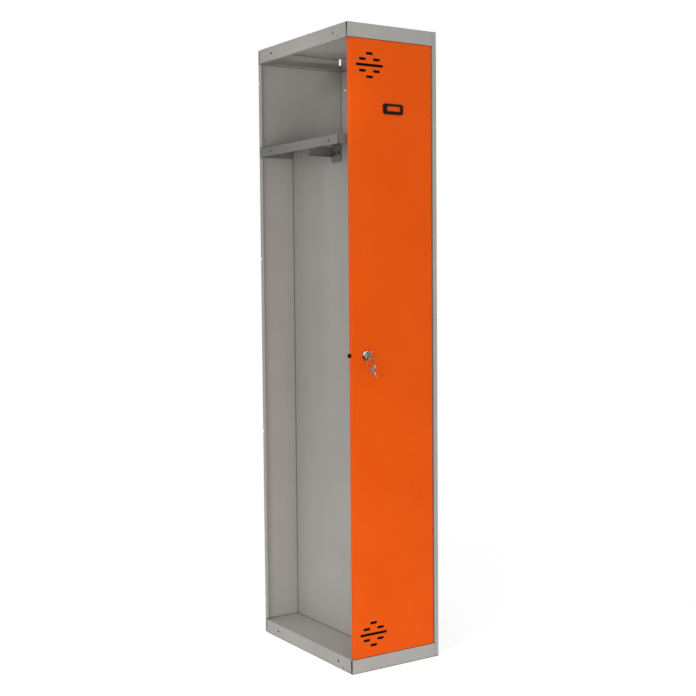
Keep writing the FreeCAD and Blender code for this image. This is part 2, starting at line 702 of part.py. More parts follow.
def make_hooks():
    """Coat hooks: a tab bolted to the partition and an arm folded out at its rear edge, one for each bay."""
    body = new_body("left_coat_hook")
    tab_left = f"({WALL_LEFT} - Sizes.hook_plate)"
    arm_front = f"({HOOK_REAR} - Sizes.hook_plate)"
    arm_tip = f"({WALL_LEFT} - Sizes.hook_reach)"
    arm_low = f"({HOOK_LOW} + Sizes.hook_arm_rise)"
    arm_high = f"({arm_low} + Sizes.hook_arm_height)"
    lip_front = f"({arm_front} - Sizes.hook_lip)"
    pad(body, "YZ", [("loop", rectangle(HOOK_FRONT, HOOK_REAR, HOOK_LOW, HOOK_TOP))], tab_left, WALL_LEFT)
    pad(body, "XZ", [("loop", rectangle(arm_tip, WALL_LEFT, arm_low, arm_high))], arm_front, HOOK_REAR)
    arm_lip = rectangle(arm_tip, WALL_LEFT, lip_front, HOOK_REAR)
    pad(body, "XY", [("loop", arm_lip)], arm_low, f"({arm_low} + Sizes.hook_plate)")
    seats = [
        ("circle", f"({arm_tip} + Sizes.hook_seat_inset)", arm_high, "Sizes.hook_seat_radius"),
        ("circle", arm_tip, f"({arm_low} + Sizes.hook_arm_height / 2)", "Sizes.hook_tip_radius"),
    ]
    cut(body, "XZ", seats, f"({arm_front} - {PAST})", f"({HOOK_REAR} + {PAST})")
    bolts = [("circle", y, HOOK_MIDDLE, BOLT_BORE) for y in HOOK_BOLTS]
    cut(body, "YZ", bolts, f"({tab_left} - {PAST})", f"({WALL_LEFT} + {PAST})")
    corners = [{"y": HOOK_FRONT, "z": HOOK_LOW}, {"y": HOOK_FRONT, "z": HOOK_TOP}]
    round_edges(body, "Sizes.hook_tab_corner", corners)
    mirrored("right_coat_hook", body, "x", f"({WALL_LEFT} + Sizes.sheet / 2)")


def bolt(grip):
    """Hexagon-headed bolt, its head on +Z of the clamped faces and its thread past the nut."""
    radius = "Sizes.bolt_diameter / 2"
    tip = f"(-{grip} - Sizes.nut_height - Sizes.bolt_spare)"
    body = turned([("0", tip), (radius, tip), (radius, "0"), ("0", "0")])
    pad(body, "XY", [("loop", hexagon("Sizes.bolt_head"))], "0", "Sizes.bolt_head_height")
    return body


def nut(grip):
    body = new_body()
    far = f"(-{grip} - Sizes.nut_height)"
    near = f"(-{grip})"
    pad(body, "XY", [("loop", hexagon("Sizes.nut_width"))], far, near)
    cut(body, "XY", [("circle", "0", "0", BOLT_BORE)], far, near)
    return body


def rivet(grip, shank, head):
    """Blind rivet: domed head on +Z, shank through the grip and a set tail behind it."""
    radius = f"({shank} / 2)"
    tail_radius = f"({shank} / 2 * Sizes.rivet_tail / Sizes.rivet_diameter)"
    head_radius = f"({head} / 2)"
    crown_radius = f"({head_radius} * Sizes.rivet_crown_share)"
    tail = f"(-{grip} - Sizes.rivet_tail_height)"
    high = "Sizes.rivet_head_height"
    profile = [
        ("0", tail), (tail_radius, tail), (tail_radius, f"(-{grip})"), (radius, f"(-{grip})"),
        (radius, "0"), (head_radius, "0"), (crown_radius, high), ("0", high),
    ]
    return turned(profile)


def make_fasteners():
    two_sheets = "(2 * Sizes.sheet)"
    hook_grip = "(2 * Sizes.hook_plate + Sizes.sheet)"
    side_bolt, side_nut = bolt(two_sheets), nut(two_sheets)
    hook_bolt, hook_nut = bolt(hook_grip), nut(hook_grip)
    sheet_rivet = rivet(two_sheets, "Sizes.rivet_diameter", "Sizes.rivet_head")
    card_rivet = rivet("(Sizes.card_thick + Sizes.sheet)", "Sizes.card_rivet", "Sizes.card_rivet_head")
    tray_places = [(y, z) for z in TRAY_HOLE_RISES for y in TRAY_HOLES]
    shelf_places = [(y, SHELF_HOLE_RISE) for y in SHELF_HOLES]
    hook_face = f"({WALL_LEFT} - Sizes.hook_plate)"
    group("tray_bolts", [(side_bolt, RIGHT, y, z, FACE_RIGHT) for y, z in tray_places])
    group("tray_nuts", [(side_nut, RIGHT, y, z, FACE_RIGHT) for y, z in tray_places])
    group("shelf_bolts", [(side_bolt, RIGHT, y, z, FACE_RIGHT) for y, z in shelf_places])
    group("shelf_nuts", [(side_nut, RIGHT, y, z, FACE_RIGHT) for y, z in shelf_places])
    group("hook_bolts", [(hook_bolt, hook_face, y, HOOK_MIDDLE, FACE_LEFT) for y in HOOK_BOLTS])
    group("hook_nuts", [(hook_nut, hook_face, y, HOOK_MIDDLE, FACE_LEFT) for y in HOOK_BOLTS])
    group("back_panel_rivets", [(sheet_rivet, x, BACK_OUTER, z, FACE_REAR) for x, z in back_rivet_places()])
    upright = []
    for y in (WALL_RIVET_FRONT, WALL_RIVET_REAR):
        upright.append((sheet_rivet, WALL_RIVET_X, y, f"({FLOOR_TOP} + Sizes.sheet)", FACE_UP))
        upright.append((sheet_rivet, WALL_RIVET_X, y, SHELF_TOP, FACE_UP))
    group("partition_rivets", upright)
    card_face = f"({FRONT} - Sizes.card_thick)"
    card = []
    for side in (-1, 1):
        card.append((card_rivet, f"({CARD_X} + {side} * {CARD_RIVET_REACH})", card_face, CARD_Z, FACE_FRONT))
    group("card_holder_rivets", card)


def make_pivots():
    """Hinge: flanged bushes in the floor and the ceiling's front lip, and headed pins in the door's ends."""
    flange = "Sizes.bush_flange / 2"
    bush = [
        (BUSH_BORE, "(-Sizes.bush_length)"), (BUSH_RADIUS, "(-Sizes.bush_length)"), (BUSH_RADIUS, "0"),
        (flange, "0"), (flange, "Sizes.bush_flange_height"), (BUSH_BORE, "Sizes.bush_flange_height"),
    ]
    radius = "Sizes.pin_diameter / 2"
    seat = "(Sizes.sheet + Sizes.hinge_plate)"
    top = f"({seat} + Sizes.pin_head_height)"
    tip_land = f"({radius} - Sizes.bend_radius)"
    pin = [
        ("0", "(-Sizes.pin_reach)"), (tip_land, "(-Sizes.pin_reach)"),
        (radius, "(-Sizes.pin_reach + Sizes.bend_radius)"), (radius, seat),
        ("Sizes.pin_head / 2", seat), ("Sizes.pin_head / 2", top), ("0", top),
    ]
    place(turned(bush, "lower_hinge_bush"), PIVOT_X, PIVOT_Y, FLOOR_TOP, FACE_UP)
    place(turned(bush, "upper_hinge_bush"), PIVOT_X, PIVOT_Y, CEILING, FACE_DOWN)
    place(turned(pin, "lower_hinge_pin"), PIVOT_X, PIVOT_Y, DOOR_BOTTOM, FACE_UP)
    place(turned(pin, "upper_hinge_pin"), PIVOT_X, PIVOT_Y, DOOR_TOP, FACE_DOWN)
    plate = new_body("lower_hinge_plate")
    plate_right = f"({DOOR_RIGHT} - Sizes.sheet)"
    plate_left = f"({plate_right} - Sizes.hinge_plate_length)"
    low = f"({DOOR_BOTTOM} + Sizes.sheet)"
    high = f"({low} + Sizes.hinge_plate_rise)"
    angle = folded([(plate_left, low), (plate_right, low), (plate_right, high)], "left", "Sizes.hinge_plate")
    pad(plate, "XZ", [("loop", angle)], DOOR_INNER, f"({DOOR_BACK} - Sizes.sheet)")
    bore = f"({radius} + Sizes.pin_play)"
    above = f"({low} + Sizes.hinge_plate + {PAST})"
    cut(plate, "XY", [("circle", PIVOT_X, PIVOT_Y, bore)], f"({low} - {PAST})", above)
    mirrored("upper_hinge_plate", plate, "z", f"(({DOOR_BOTTOM} + {DOOR_TOP}) / 2)")


def vent_slots(centre_z):
    """Seven slots in a rhombus: one short, two short, one long, two short, one short."""
    rows = [(2, "0"), (1, "-0.5"), (1, "0.5"), (0, "0"), (-1, "-0.5"), (-1, "0.5"), (-2, "0")]
    radius = "(Sizes.vent_height / 2)"
    slots = []
    for level, column in rows:
        length = "Sizes.vent_long" if level == 0 else "Sizes.vent_short"
        reach = f"({length} / 2 - {radius})"
        x = f"({VENT_X} + {column} * Sizes.vent_column)"
        z = f"({centre_z} + {level} * Sizes.vent_row)"
        slots.append(("slot", (f"({x} - {reach})", z), (f"({x} + {reach})", z), radius))
    return slots


def make_door():
    """Door skin: a folded tray with lips on its long edges, vented at both ends, notched for the cam."""
    body = new_body("door_skin")
    lip_left = f"({DOOR_LEFT} + Sizes.door_lip)"
    lip_right = f"({DOOR_RIGHT} - Sizes.door_lip)"
    section = [
        (lip_left, DOOR_BACK), (DOOR_LEFT, DOOR_BACK), (DOOR_LEFT, FRONT),
        (DOOR_RIGHT, FRONT), (DOOR_RIGHT, DOOR_BACK), (lip_right, DOOR_BACK),
    ]
    pad(body, "XY", [("loop", folded(section, "left"))], DOOR_BOTTOM, DOOR_TOP)
    end_plate = rectangle(DOOR_LEFT, DOOR_RIGHT, FRONT, DOOR_BACK)
    low_inner = f"({DOOR_BOTTOM} + Sizes.sheet)"
    high_inner = f"({DOOR_TOP} - Sizes.sheet)"
    for start, end in ((DOOR_BOTTOM, low_inner), (high_inner, DOOR_TOP)):
        pad(body, "XY", [("loop", end_plate)], start, end)
    bore = "(Sizes.pin_diameter / 2 + Sizes.pin_play)"
    for start, end in ((DOOR_BOTTOM, low_inner), (high_inner, DOOR_TOP)):
        cut(body, "XY", [("circle", PIVOT_X, PIVOT_Y, bore)], f"({start} - {PAST})", f"({end} + {PAST})")
    skin_front = f"({FRONT} - {PAST})"
    skin_rear = f"({DOOR_INNER} + {PAST})"
    for centre_z in (UPPER_VENT, LOWER_VENT):
        cut(body, "XZ", vent_slots(centre_z), skin_front, skin_rear)
    lock_radius = "(Sizes.lock_barrel / 2 + Sizes.lock_play)"
    lock_flats = "(Sizes.lock_flats / 2 + Sizes.lock_play)"
    rivet_bore = "(Sizes.card_rivet / 2 + Sizes.rivet_play)"
    fittings = [("double_d", LOCK_X, LOCK_Z, lock_radius, lock_flats)]
    for side in (-1, 1):
        fittings.append(("circle", f"({CARD_X} + {side} * {CARD_RIVET_REACH})", CARD_Z, rivet_bore))
    cut(body, "XZ", fittings, skin_front, skin_rear)
    notch_low = f"({LOCK_Z} - Sizes.cam_notch / 2)"
    notch_high = f"({LOCK_Z} + Sizes.cam_notch / 2)"
    notch = rectangle(f"({DOOR_LEFT} - {PAST})", f"({lip_left} + {PAST})", notch_low, notch_high)
    cut(body, "XZ", [("loop", notch)], f"({FRONT} + Sizes.cam_notch_front)", f"({DOOR_BACK} + {PAST})")
    bends = [{"x": DOOR_LEFT, "y": FRONT}, {"x": DOOR_RIGHT, "y": FRONT}]
    bends += [{"y": FRONT, "z": DOOR_BOTTOM}, {"y": FRONT, "z": DOOR_TOP}]
    round_edges(body, "Sizes.bend_radius", bends)


def make_gauze(label, centre_z):
    """Black gauze that is glued behind one group of vent slots."""
    body = new_body(label)
    half_width = "(Sizes.vent_long / 2 + Sizes.gauze_margin)"
    half_tall = "(2 * Sizes.vent_row + Sizes.vent_height / 2 + Sizes.gauze_margin)"
    outline = rectangle(
        f"({VENT_X} - {half_width})", f"({VENT_X} + {half_width})",
        f"({centre_z} - {half_tall})", f"({centre_z} + {half_tall})",
    )
    pad(body, "XZ", [("loop", outline)], DOOR_INNER, f"({DOOR_INNER} + Sizes.gauze_thick)")


def make_stiffener():
    """Upright channel with two feet, welded to the inside of the door skin."""
    body = new_body("door_stiffener")
    centre = f"({DOOR_RIGHT} - Sizes.stiffener_inset)"
    half = "Sizes.stiffener_width / 2"
    foot = f"({half} + Sizes.stiffener_foot)"
    crest = f"({DOOR_INNER} + Sizes.stiffener_depth)"
    left = f"({centre} - {half})"
    right = f"({centre} + {half})"
    section = [
        (f"({centre} - {foot})", DOOR_INNER), (left, DOOR_INNER), (left, crest),
        (right, crest), (right, DOOR_INNER), (f"({centre} + {foot})", DOOR_INNER),
    ]
    low = f"({DOOR_BOTTOM} + Sizes.stiffener_end)"
    high = f"({DOOR_TOP} - Sizes.stiffener_end)"
    pad(body, "XY", [("loop", folded(section, "left"))], low, high)


def make_card_holder():
    """Moulded label frame with cut corners, an off-centre window and a card slot that opens at the top."""
    body = new_body("card_holder")
    left = f"({CARD_X} - Sizes.card_width / 2)"
    right = f"({CARD_X} + Sizes.card_width / 2)"
    low = f"({CARD_Z} - Sizes.card_tall / 2)"
    high = f"({CARD_Z} + Sizes.card_tall / 2)"
    corner = "Sizes.card_corner"
    outline = [
        (f"({left} + {corner})", low), (f"({right} - {corner})", low), (right, f"({low} + {corner})"),
        (right, f"({high} - {corner})"), (f"({right} - {corner})", high), (f"({left} + {corner})", high),
        (left, f"({high} - {corner})"), (left, f"({low} + {corner})"),
    ]
    face = f"({FRONT} - Sizes.card_thick)"
    pad(body, "XZ", [("loop", outline)], face, FRONT)
    chamfer_edges(body, "Sizes.card_edge", [{"y": face}])
    window_x = f"({CARD_X} + Sizes.window_shift)"
    window_z = f"({CARD_Z} + Sizes.window_rise)"
    half_width = "Sizes.window_width / 2"
    half_tall = "Sizes.window_tall / 2"
    window = rectangle(
        f"({window_x} - {half_width})", f"({window_x} + {half_width})",
        f"({window_z} - {half_tall})", f"({window_z} + {half_tall})",
    )
    cut(body, "XZ", [("loop", window)], f"({face} - {PAST})", f"({FRONT} + {PAST})")
    margin = "Sizes.card_slot_margin"
    slot = rectangle(
        f"({window_x} - {half_width} - {margin})", f"({window_x} + {half_width} + {margin})",
        f"({window_z} - {half_tall} - {margin})", f"({high} + {PAST})",
    )
    cut(body, "XZ", [("loop", slot)], f"({FRONT} - Sizes.card_slot)", FRONT)
    bore = "(Sizes.card_rivet / 2 + Sizes.rivet_play)"
    rivets = [("circle", f"({CARD_X} + {side} * {CARD_RIVET_REACH})", CARD_Z, bore) for side in (-1, 1)]
    cut(body, "XZ", rivets, f"({face} - {PAST})", f"({FRONT} + {PAST})")


def make_lock():
    """Cam lock on its own axis: +Z points out of the door from the skin's front face, +Y is up."""
    barrel = "Sizes.lock_barrel / 2"
    head = "Sizes.lock_head / 2"
    recess = "Sizes.lock_recess / 2"
    bore = "(Sizes.plug_diameter / 2 + Sizes.plug_play)"
    rear = "(-Sizes.lock_length)"
    front = "Sizes.lock_head_height"
    recess_floor = f"({front} - Sizes.lock_recess_depth)"
    housing = turned(
        [
            (bore, rear), (barrel, rear), (barrel, "0"), (head, "0"), (head, "Sizes.lock_head_rim"),
            ("Sizes.lock_head_crown / 2", front), (recess, front), (recess, recess_floor),
            (bore, recess_floor),
        ],
        "lock_housing",
    )
    flats = []
    for side in (-1, 1):
        near = f"({side} * Sizes.lock_flats / 2)"
        far = f"({side} * Sizes.lock_barrel)"
        flats.append(("loop", rectangle(near, far, "(-Sizes.lock_barrel)", "Sizes.lock_barrel")))
    cut(housing, "XY", flats, f"({rear} - {PAST})", "0")
    washer_rear = "(-Sizes.sheet - Sizes.lock_washer_height)"
    washer = new_body("lock_washer")
    pad(washer, "XY", [("circle", "0", "0", "Sizes.lock_washer / 2")], washer_rear, "(-Sizes.sheet)")
    washer_bore = f"({barrel} + Sizes.lock_play)"
    cut(washer, "XY", [("circle", "0", "0", washer_bore)], f"({washer_rear} - {PAST})", "0")
    lock_nut = new_body("lock_nut")
    nut_rear = f"({washer_rear} - Sizes.lock_nut_height)"
    pad(lock_nut, "XY", [("loop", hexagon("Sizes.lock_nut_width"))], nut_rear, washer_rear)
    nut_bore = f"({barrel} + Sizes.thread_play)"
    cut(lock_nut, "XY", [("circle", "0", "0", nut_bore)], f"({nut_rear} - {PAST})", "0")

    plug_radius = "Sizes.plug_diameter / 2"
    face = "Sizes.plug_face / 2"
    shoulder = f"({recess_floor} + Sizes.plug_face_gap)"
    plug_front = f"({front} - Sizes.plug_sink)"
    cam_near = f"({rear} - Sizes.cam_gap)"
    cam_far = f"({cam_near} - Sizes.cam_thick)"
    plug = turned(
        [
            ("0", cam_near), (plug_radius, cam_near), (plug_radius, shoulder),
            (face, shoulder), (face, plug_front), ("0", plug_front),
        ],
        "lock_plug",
    )
    half_square = "Sizes.cam_square / 2"
    tail = rectangle(f"(-{half_square})", half_square, f"(-{half_square})", half_square)
    pad(plug, "XY", [("loop", tail)], f"({cam_far} + Sizes.cam_square_play)", cam_near)
    half_keyway = "(Sizes.key_thick / 2 + Sizes.keyway_play)"
    half_blade = "(Sizes.key_blade_width / 2 + Sizes.keyway_play)"
    keyway = rectangle(f"(-{half_keyway})", half_keyway, f"(-{half_blade})", half_blade)
    keyway_end = "(-Sizes.key_insert - Sizes.keyway_floor)"
    cut(plug, "XY", [("loop", keyway)], keyway_end, f"({plug_front} + {PAST})")
    screw_radius = "Sizes.cam_screw / 2"
    screw_bore = f"({screw_radius} + Sizes.thread_play)"
    screw_tip = f"({cam_near} + Sizes.cam_screw_grip)"
    bore_start = f"({cam_far} - {PAST})"
    cut(plug, "XY", [("circle", "0", "0", screw_bore)], bore_start, f"({screw_tip} + Sizes.thread_play)")

    cam = new_body("lock_cam")
    pad(cam, "XY", [("circle", "0", "0", "Sizes.cam_hub / 2")], cam_far, cam_near)
    half_cam = "Sizes.cam_width / 2"
    arm = rectangle("(-Sizes.cam_reach)", "0", f"(-{half_cam})", half_cam)
    pad(cam, "XY", [("loop", arm)], cam_far, cam_near)
    hole = f"({half_square} + Sizes.cam_square_play)"
    square = rectangle(f"(-{hole})", hole, f"(-{hole})", hole)
    cut(cam, "XY", [("loop", square)], f"({cam_far} - {PAST})", f"({cam_near} + {PAST})")
    tip_edges = [{"x": "(-Sizes.cam_reach)", "y": side} for side in (half_cam, f"(-{half_cam})")]
    round_edges(cam, "Sizes.cam_tip_radius", tip_edges)

    head_rear = f"({cam_far} - Sizes.cam_screw_head_height)"
    head_radius = "Sizes.cam_screw_head / 2"
    screw = turned(
        [
            ("0", head_rear), (head_radius, head_rear), (head_radius, cam_far),
            (screw_radius, cam_far), (screw_radius, screw_tip), ("0", screw_tip),
        ],
        "cam_screw",
    )
    socket_floor = f"({head_rear} + Sizes.cam_screw_socket_depth)"
    cut(screw, "XY", [("loop", hexagon("Sizes.cam_screw_socket"))], f"({head_rear} - {PAST})", socket_floor)
    for piece in (housing, washer, lock_nut, plug, cam, screw):
        place(piece, LOCK_X, FRONT, LOCK_Z, FACE_FRONT)


BOW_START = "(Sizes.key_blade_length - Sizes.key_insert)"
BOW_END = f"({BOW_START} + Sizes.key_bow_length)"
SLOT_OUT = f"({BOW_END} - Sizes.key_slot_inset)"
SLOT_HANG = "(Sizes.key_slot_length / 2 - Sizes.ring_wire / sqrt(2) - Sizes.ring_play)"


def key(label):
    """Flat key in the YZ plane of the lock's axis: slotted bow outside, blade with stepped bitting inside."""
    body = new_body(label)
    half_thick = "Sizes.key_thick / 2"
    half_bow = "Sizes.key_bow_width / 2"
    half_blade = "Sizes.key_blade_width / 2"
    tip = "(-Sizes.key_insert)"
    cuts = [f"({tip} + {number} * Sizes.key_cut_pitch)" for number in range(1, 7)]
    thick = (f"(-{half_thick})", half_thick)
    bow = rectangle(f"(-{half_bow})", half_bow, BOW_START, BOW_END)
    pad(body, "YZ", [("loop", bow)], *thick)
    corners = [{"y": f"({side} * {half_bow})", "z": z} for side in (-1, 1) for z in (BOW_START, BOW_END)]
    round_edges(body, "Sizes.key_bow_corner", corners)
    shallow = f"(Sizes.key_cut_shallow - {half_blade})"
    deep = f"(Sizes.key_cut_deep - {half_blade})"
    root = f"({BOW_START} + Sizes.key_thick)"
    blade = [
        (half_blade, root), (half_blade, cuts[0]), ("0", tip), (shallow, cuts[0]), (deep, cuts[1]),
        (shallow, cuts[2]), (deep, cuts[3]), (shallow, cuts[4]), (f"(-{half_blade})", cuts[5]),
        (f"(-{half_blade})", root),
    ]
    pad(body, "YZ", [("loop", blade)], *thick)
    radius = "(Sizes.key_slot_width / 2)"
    reach = f"(Sizes.key_slot_length / 2 - {radius})"
    slot = ("slot", (f"(-{reach})", SLOT_OUT), (reach, SLOT_OUT), radius)
    cut(body, "YZ", [slot], "(-Sizes.key_thick)", "Sizes.key_thick")
    return body


def make_keys():
    """The key in the lock, the ring that hangs in the low end of its slot, and the spare key on the ring."""
    in_lock = key("key")
    place(in_lock, LOCK_X, FRONT, LOCK_Z, FACE_FRONT)
    inner = "(Sizes.ring_diameter / 2 - Sizes.ring_wire / 2)"
    outer = "(Sizes.ring_diameter / 2 + Sizes.ring_wire / 2)"
    ring = turned(rectangle(inner, outer, "(-Sizes.ring_wire / 2)", "(Sizes.ring_wire / 2)"), "key_ring")
    ring_y = f"({FRONT} - {SLOT_OUT})"
    ring_top = f"({LOCK_Z} - {SLOT_HANG})"
    place(ring, LOCK_X, ring_y, f"({ring_top} - Sizes.ring_diameter / 2)", FACE_FRONT)
    spare = key("spare_key")
    doc.recompute()
    # The spare hangs by one end of its slot, with its centre of mass straight below the ring's wire.
    hang = Vector(0, value(SLOT_HANG), value(SLOT_OUT))
    weight = spare.Shape.Solids[0].CenterOfMass - hang
    lean = math.degrees(math.atan2(weight.y, -weight.z))
    turn = Rotation(Vector(1, 0, 0), lean)
    wire = Vector(value(LOCK_X), value(ring_y), value(f"({ring_top} - Sizes.ring_diameter)"))
    spare.Placement = FreeCAD.Placement(wire - turn.multVec(hang), turn)


def check():
    """Stop if any object failed, any cut removed nothing, or any sub-part has no sound solid."""
    for item in doc.Objects:
        if "Invalid" in item.State or "Error" in item.State:
            raise RuntimeError("failed object: %s %s" % (item.Label, item.State))
        if item.TypeId == "PartDesign::Pocket" and item.Shape.Volume >= item.BaseFeature.Shape.Volume - TOUCH:
            raise RuntimeError("a cut removes nothing: %s" % item.Label)
    for piece in parts:
        if piece.Shape.isNull() or not piece.Shape.isValid() or not piece.Shape.Solids:
            raise RuntimeError("unsound sub-part: %s" % piece.Label)


make_trays()
make_side_panel()
make_back_panel()
make_shelf()
make_partition()
make_hooks()
make_fasteners()
make_pivots()
make_door()
make_gauze("upper_vent_gauze", UPPER_VENT)
make_gauze("lower_vent_gauze", LOWER_VENT)
make_stiffener()
make_card_holder()
make_lock()
make_keys()
doc.recompute()
check()
os.makedirs("parts", exist_ok=True)
for piece in parts:
    piece.Shape.exportStep("parts/%s.step" % piece.Label)
    print(piece.Label, len(piece.Shape.Solids), round(piece.Shape.Volume, 1))
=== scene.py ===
import json
import math

import bmesh
import bpy
from mathutils import Matrix, Quaternion, Vector


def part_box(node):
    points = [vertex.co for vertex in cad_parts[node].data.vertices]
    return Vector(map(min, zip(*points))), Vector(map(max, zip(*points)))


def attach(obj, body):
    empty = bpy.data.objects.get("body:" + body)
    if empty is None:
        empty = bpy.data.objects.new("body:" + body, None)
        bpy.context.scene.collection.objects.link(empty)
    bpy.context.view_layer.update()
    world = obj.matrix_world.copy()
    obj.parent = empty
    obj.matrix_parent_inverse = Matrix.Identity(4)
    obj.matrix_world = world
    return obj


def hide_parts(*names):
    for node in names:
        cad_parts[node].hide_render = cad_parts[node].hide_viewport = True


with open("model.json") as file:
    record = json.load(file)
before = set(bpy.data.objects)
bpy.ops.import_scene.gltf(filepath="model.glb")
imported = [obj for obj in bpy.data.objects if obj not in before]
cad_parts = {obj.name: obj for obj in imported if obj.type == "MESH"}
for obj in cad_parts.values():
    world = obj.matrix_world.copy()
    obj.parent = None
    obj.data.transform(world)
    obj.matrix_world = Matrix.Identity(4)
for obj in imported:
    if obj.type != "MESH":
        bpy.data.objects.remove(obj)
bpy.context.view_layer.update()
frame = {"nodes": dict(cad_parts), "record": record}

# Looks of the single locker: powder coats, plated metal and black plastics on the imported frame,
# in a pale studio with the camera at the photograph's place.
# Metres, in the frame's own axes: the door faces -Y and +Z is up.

MILLIMETRE = 0.001
SOLID_WELD = 0.001 * MILLIMETRE
SEAM_WELD = 0.002 * MILLIMETRE

# Camera, worked out from the carcass's corners in the photograph
PHOTO_SIDE = 696
FOCAL_PIXELS = 1194.2
SENSOR_WIDTH = 36.0
CAMERA_PLACE = Vector((-1.9345, -2.9928, 1.1145))
CAMERA_AZIMUTH = math.radians(-32.951)
CAMERA_ELEVATION = math.radians(3.492)
CAMERA_ROLL = math.radians(-0.501)

# Studio: the carcass's footprint, the room's strengths of light and the floor's glow and fade
CARCASS_WIDTH = 0.3
CARCASS_DEPTH = 0.5
ROOM_LIGHT = 0.62
ROOM_GLOSS_LOW = 0.02
ROOM_GLOSS_HIGH = 1.5
CEILING_RISE = (0.1, 0.8)
FLOOR_REACH = 2.6
FLOOR_FADE = 0.9
FLOOR_RIM_SHARE = 0.97
FLOOR_GLOW = 0.7
FLOOR_GLOW_EDGE = 0.94

# Sizes of the small pieces: lengths in millimetres as on a maker's drawing, angles in radians
HEX_SAMPLES = 48
TURNED_SAMPLES = 40
BOLT_RADIUS = 3.0
BOLT_HEAD_WIDTH = 10.0
BOLT_HEAD_HEIGHT = 4.0
BOLT_SPARE = 1.5
BOLT_TIP_INSET = 0.7
BOLT_TIP_LENGTH = 0.4
BOLT_NECK = 0.3
NUT_HEIGHT = 5.0
NUT_BORE = 3.05
BORE_CHAMFER = 0.3
HEX_CHAMFER = math.tan(math.radians(30))
HEX_LAND_SHARE = 0.97
THREAD_PITCH = 1.0
THREAD_DEPTH = 0.45
THREAD_STEP = 0.25
THREAD_RUNOUT = 0.5
SIDE_GRIP = 2.0
HOOK_GRIP = 5.0
FIRST_TURN = 0.37
NEXT_TURN = 1.9
LOCK_NUT_WIDTH = 24.0
LOCK_NUT_HEIGHT = 4.0
LOCK_NUT_BORE = 9.35
LOCK_GRIP = 2.0
LOCK_HEAD_HEIGHT = 5.5
LOCK_FLAT = 8.0
LOCK_REAR = -16.0
LOCK_REAR_RADIUS = 8.7
LOCK_NECK = -1.9
LOCK_BARREL_RADIUS = 9.3
LOCK_BORE = 6.55
LOCK_THREAD = (-15.2, -2.2)
LOCK_THREAD_PITCH = 1.5
LOCK_THREAD_DEPTH = 0.5
LOCK_THREAD_STEP = 0.375
RIVET_HEAD_HEIGHT = 1.4
PLATE_ROUNDING = 0.25
KEY_HALF_THICK = 1.0
KEY_HALF_BLADE = 3.5
KEY_HALF_BLADE_THICK = 0.94
KEY_HALF_GROOVED = 0.5
KEY_GROOVE = (0.1, 0.4, 1.5, 1.8)
KEY_TIP = -12.5
KEY_HALF_TIP = 0.35
KEY_BOW = (6.0, 27.0)
KEY_BOW_LAP = 2.0
KEY_SHOULDER = 1.0
KEY_HALF_BOW = 14.5
KEY_BOW_CORNER = 7.0
KEY_SLOT_OUT = 22.0
KEY_SLOT_REACH = 6.8
KEY_SLOT_RADIUS = 2.2
KEY_SLOT_PLAY = 0.12
KEY_CUT_PITCH = 1.85
KEY_SHALLOW = -2.6
KEY_DEEP = -1.6
KEY_EDGE = 0.3
RING_WIRE = 1.6
RING_RADIUS = 14.5
RING_TURN_HEIGHT = 0.78
RING_TURN_DEPTH = 1.5
RING_PITCH_SHARE = 1.03
RING_CORNER = 0.16
RING_STEPS = 96
RING_START = math.radians(35)
RING_JOG = math.radians(28)

# Colours, as linear light
WHITE = (1, 1, 1, 1)
BLACK = (0, 0, 0, 1)
FLOOR_PALE = (0.46, 0.46, 0.458, 1)
CARCASS_GREY = (0.335, 0.322, 0.3, 1)
CARCASS_GREY_PALE = (0.362, 0.35, 0.33, 1)
FITTINGS_GREY = (0.156, 0.154, 0.149, 1)
FITTINGS_GREY_PALE = (0.177, 0.175, 0.169, 1)
DOOR_ORANGE = (0.68, 0.077, 0.0028, 1)
DOOR_ORANGE_PALE = (0.725, 0.086, 0.0036, 1)
DOOR_ORANGE_RUBBED = (0.8, 0.22, 0.07, 1)
GREY_RUBBED = (0.5, 0.49, 0.475, 1)
# Painted shade for inner corners: one colour for the grey coats, one for the orange coat
GREY_PAINTED_SHADE = (0.075, 0.071, 0.066, 1)
ORANGE_PAINTED_SHADE = (0.23, 0.022, 0.002, 1)
ORANGE_GLEAM = (1, 0.45, 0.15, 1)
DUST_GREY = (0.5, 0.48, 0.45, 1)
ZINC = (0.6, 0.6, 0.585, 1)
ZINC_SHADE = (0.47, 0.475, 0.475, 1)
CHROME = (0.72, 0.72, 0.73, 1)
CHROME_SHADE = (0.62, 0.62, 0.63, 1)
NICKEL = (0.66, 0.645, 0.61, 1)
NICKEL_SHADE = (0.5, 0.49, 0.455, 1)
BLACK_NYLON = (0.016, 0.016, 0.017, 1)
BLACK_MOULDING = (0.008, 0.008, 0.0085, 1)
BLACK_LACQUER = (0.012, 0.012, 0.012, 1)
BLACK_THREAD = (0.0035, 0.0035, 0.0036, 1)
# Painted shade for the gaps between the gauze's threads
BLACK_GAP_PAINTED_SHADE = (0.0008, 0.0008, 0.0008, 1)
BLACK_RUBBED = (0.06, 0.06, 0.06, 1)


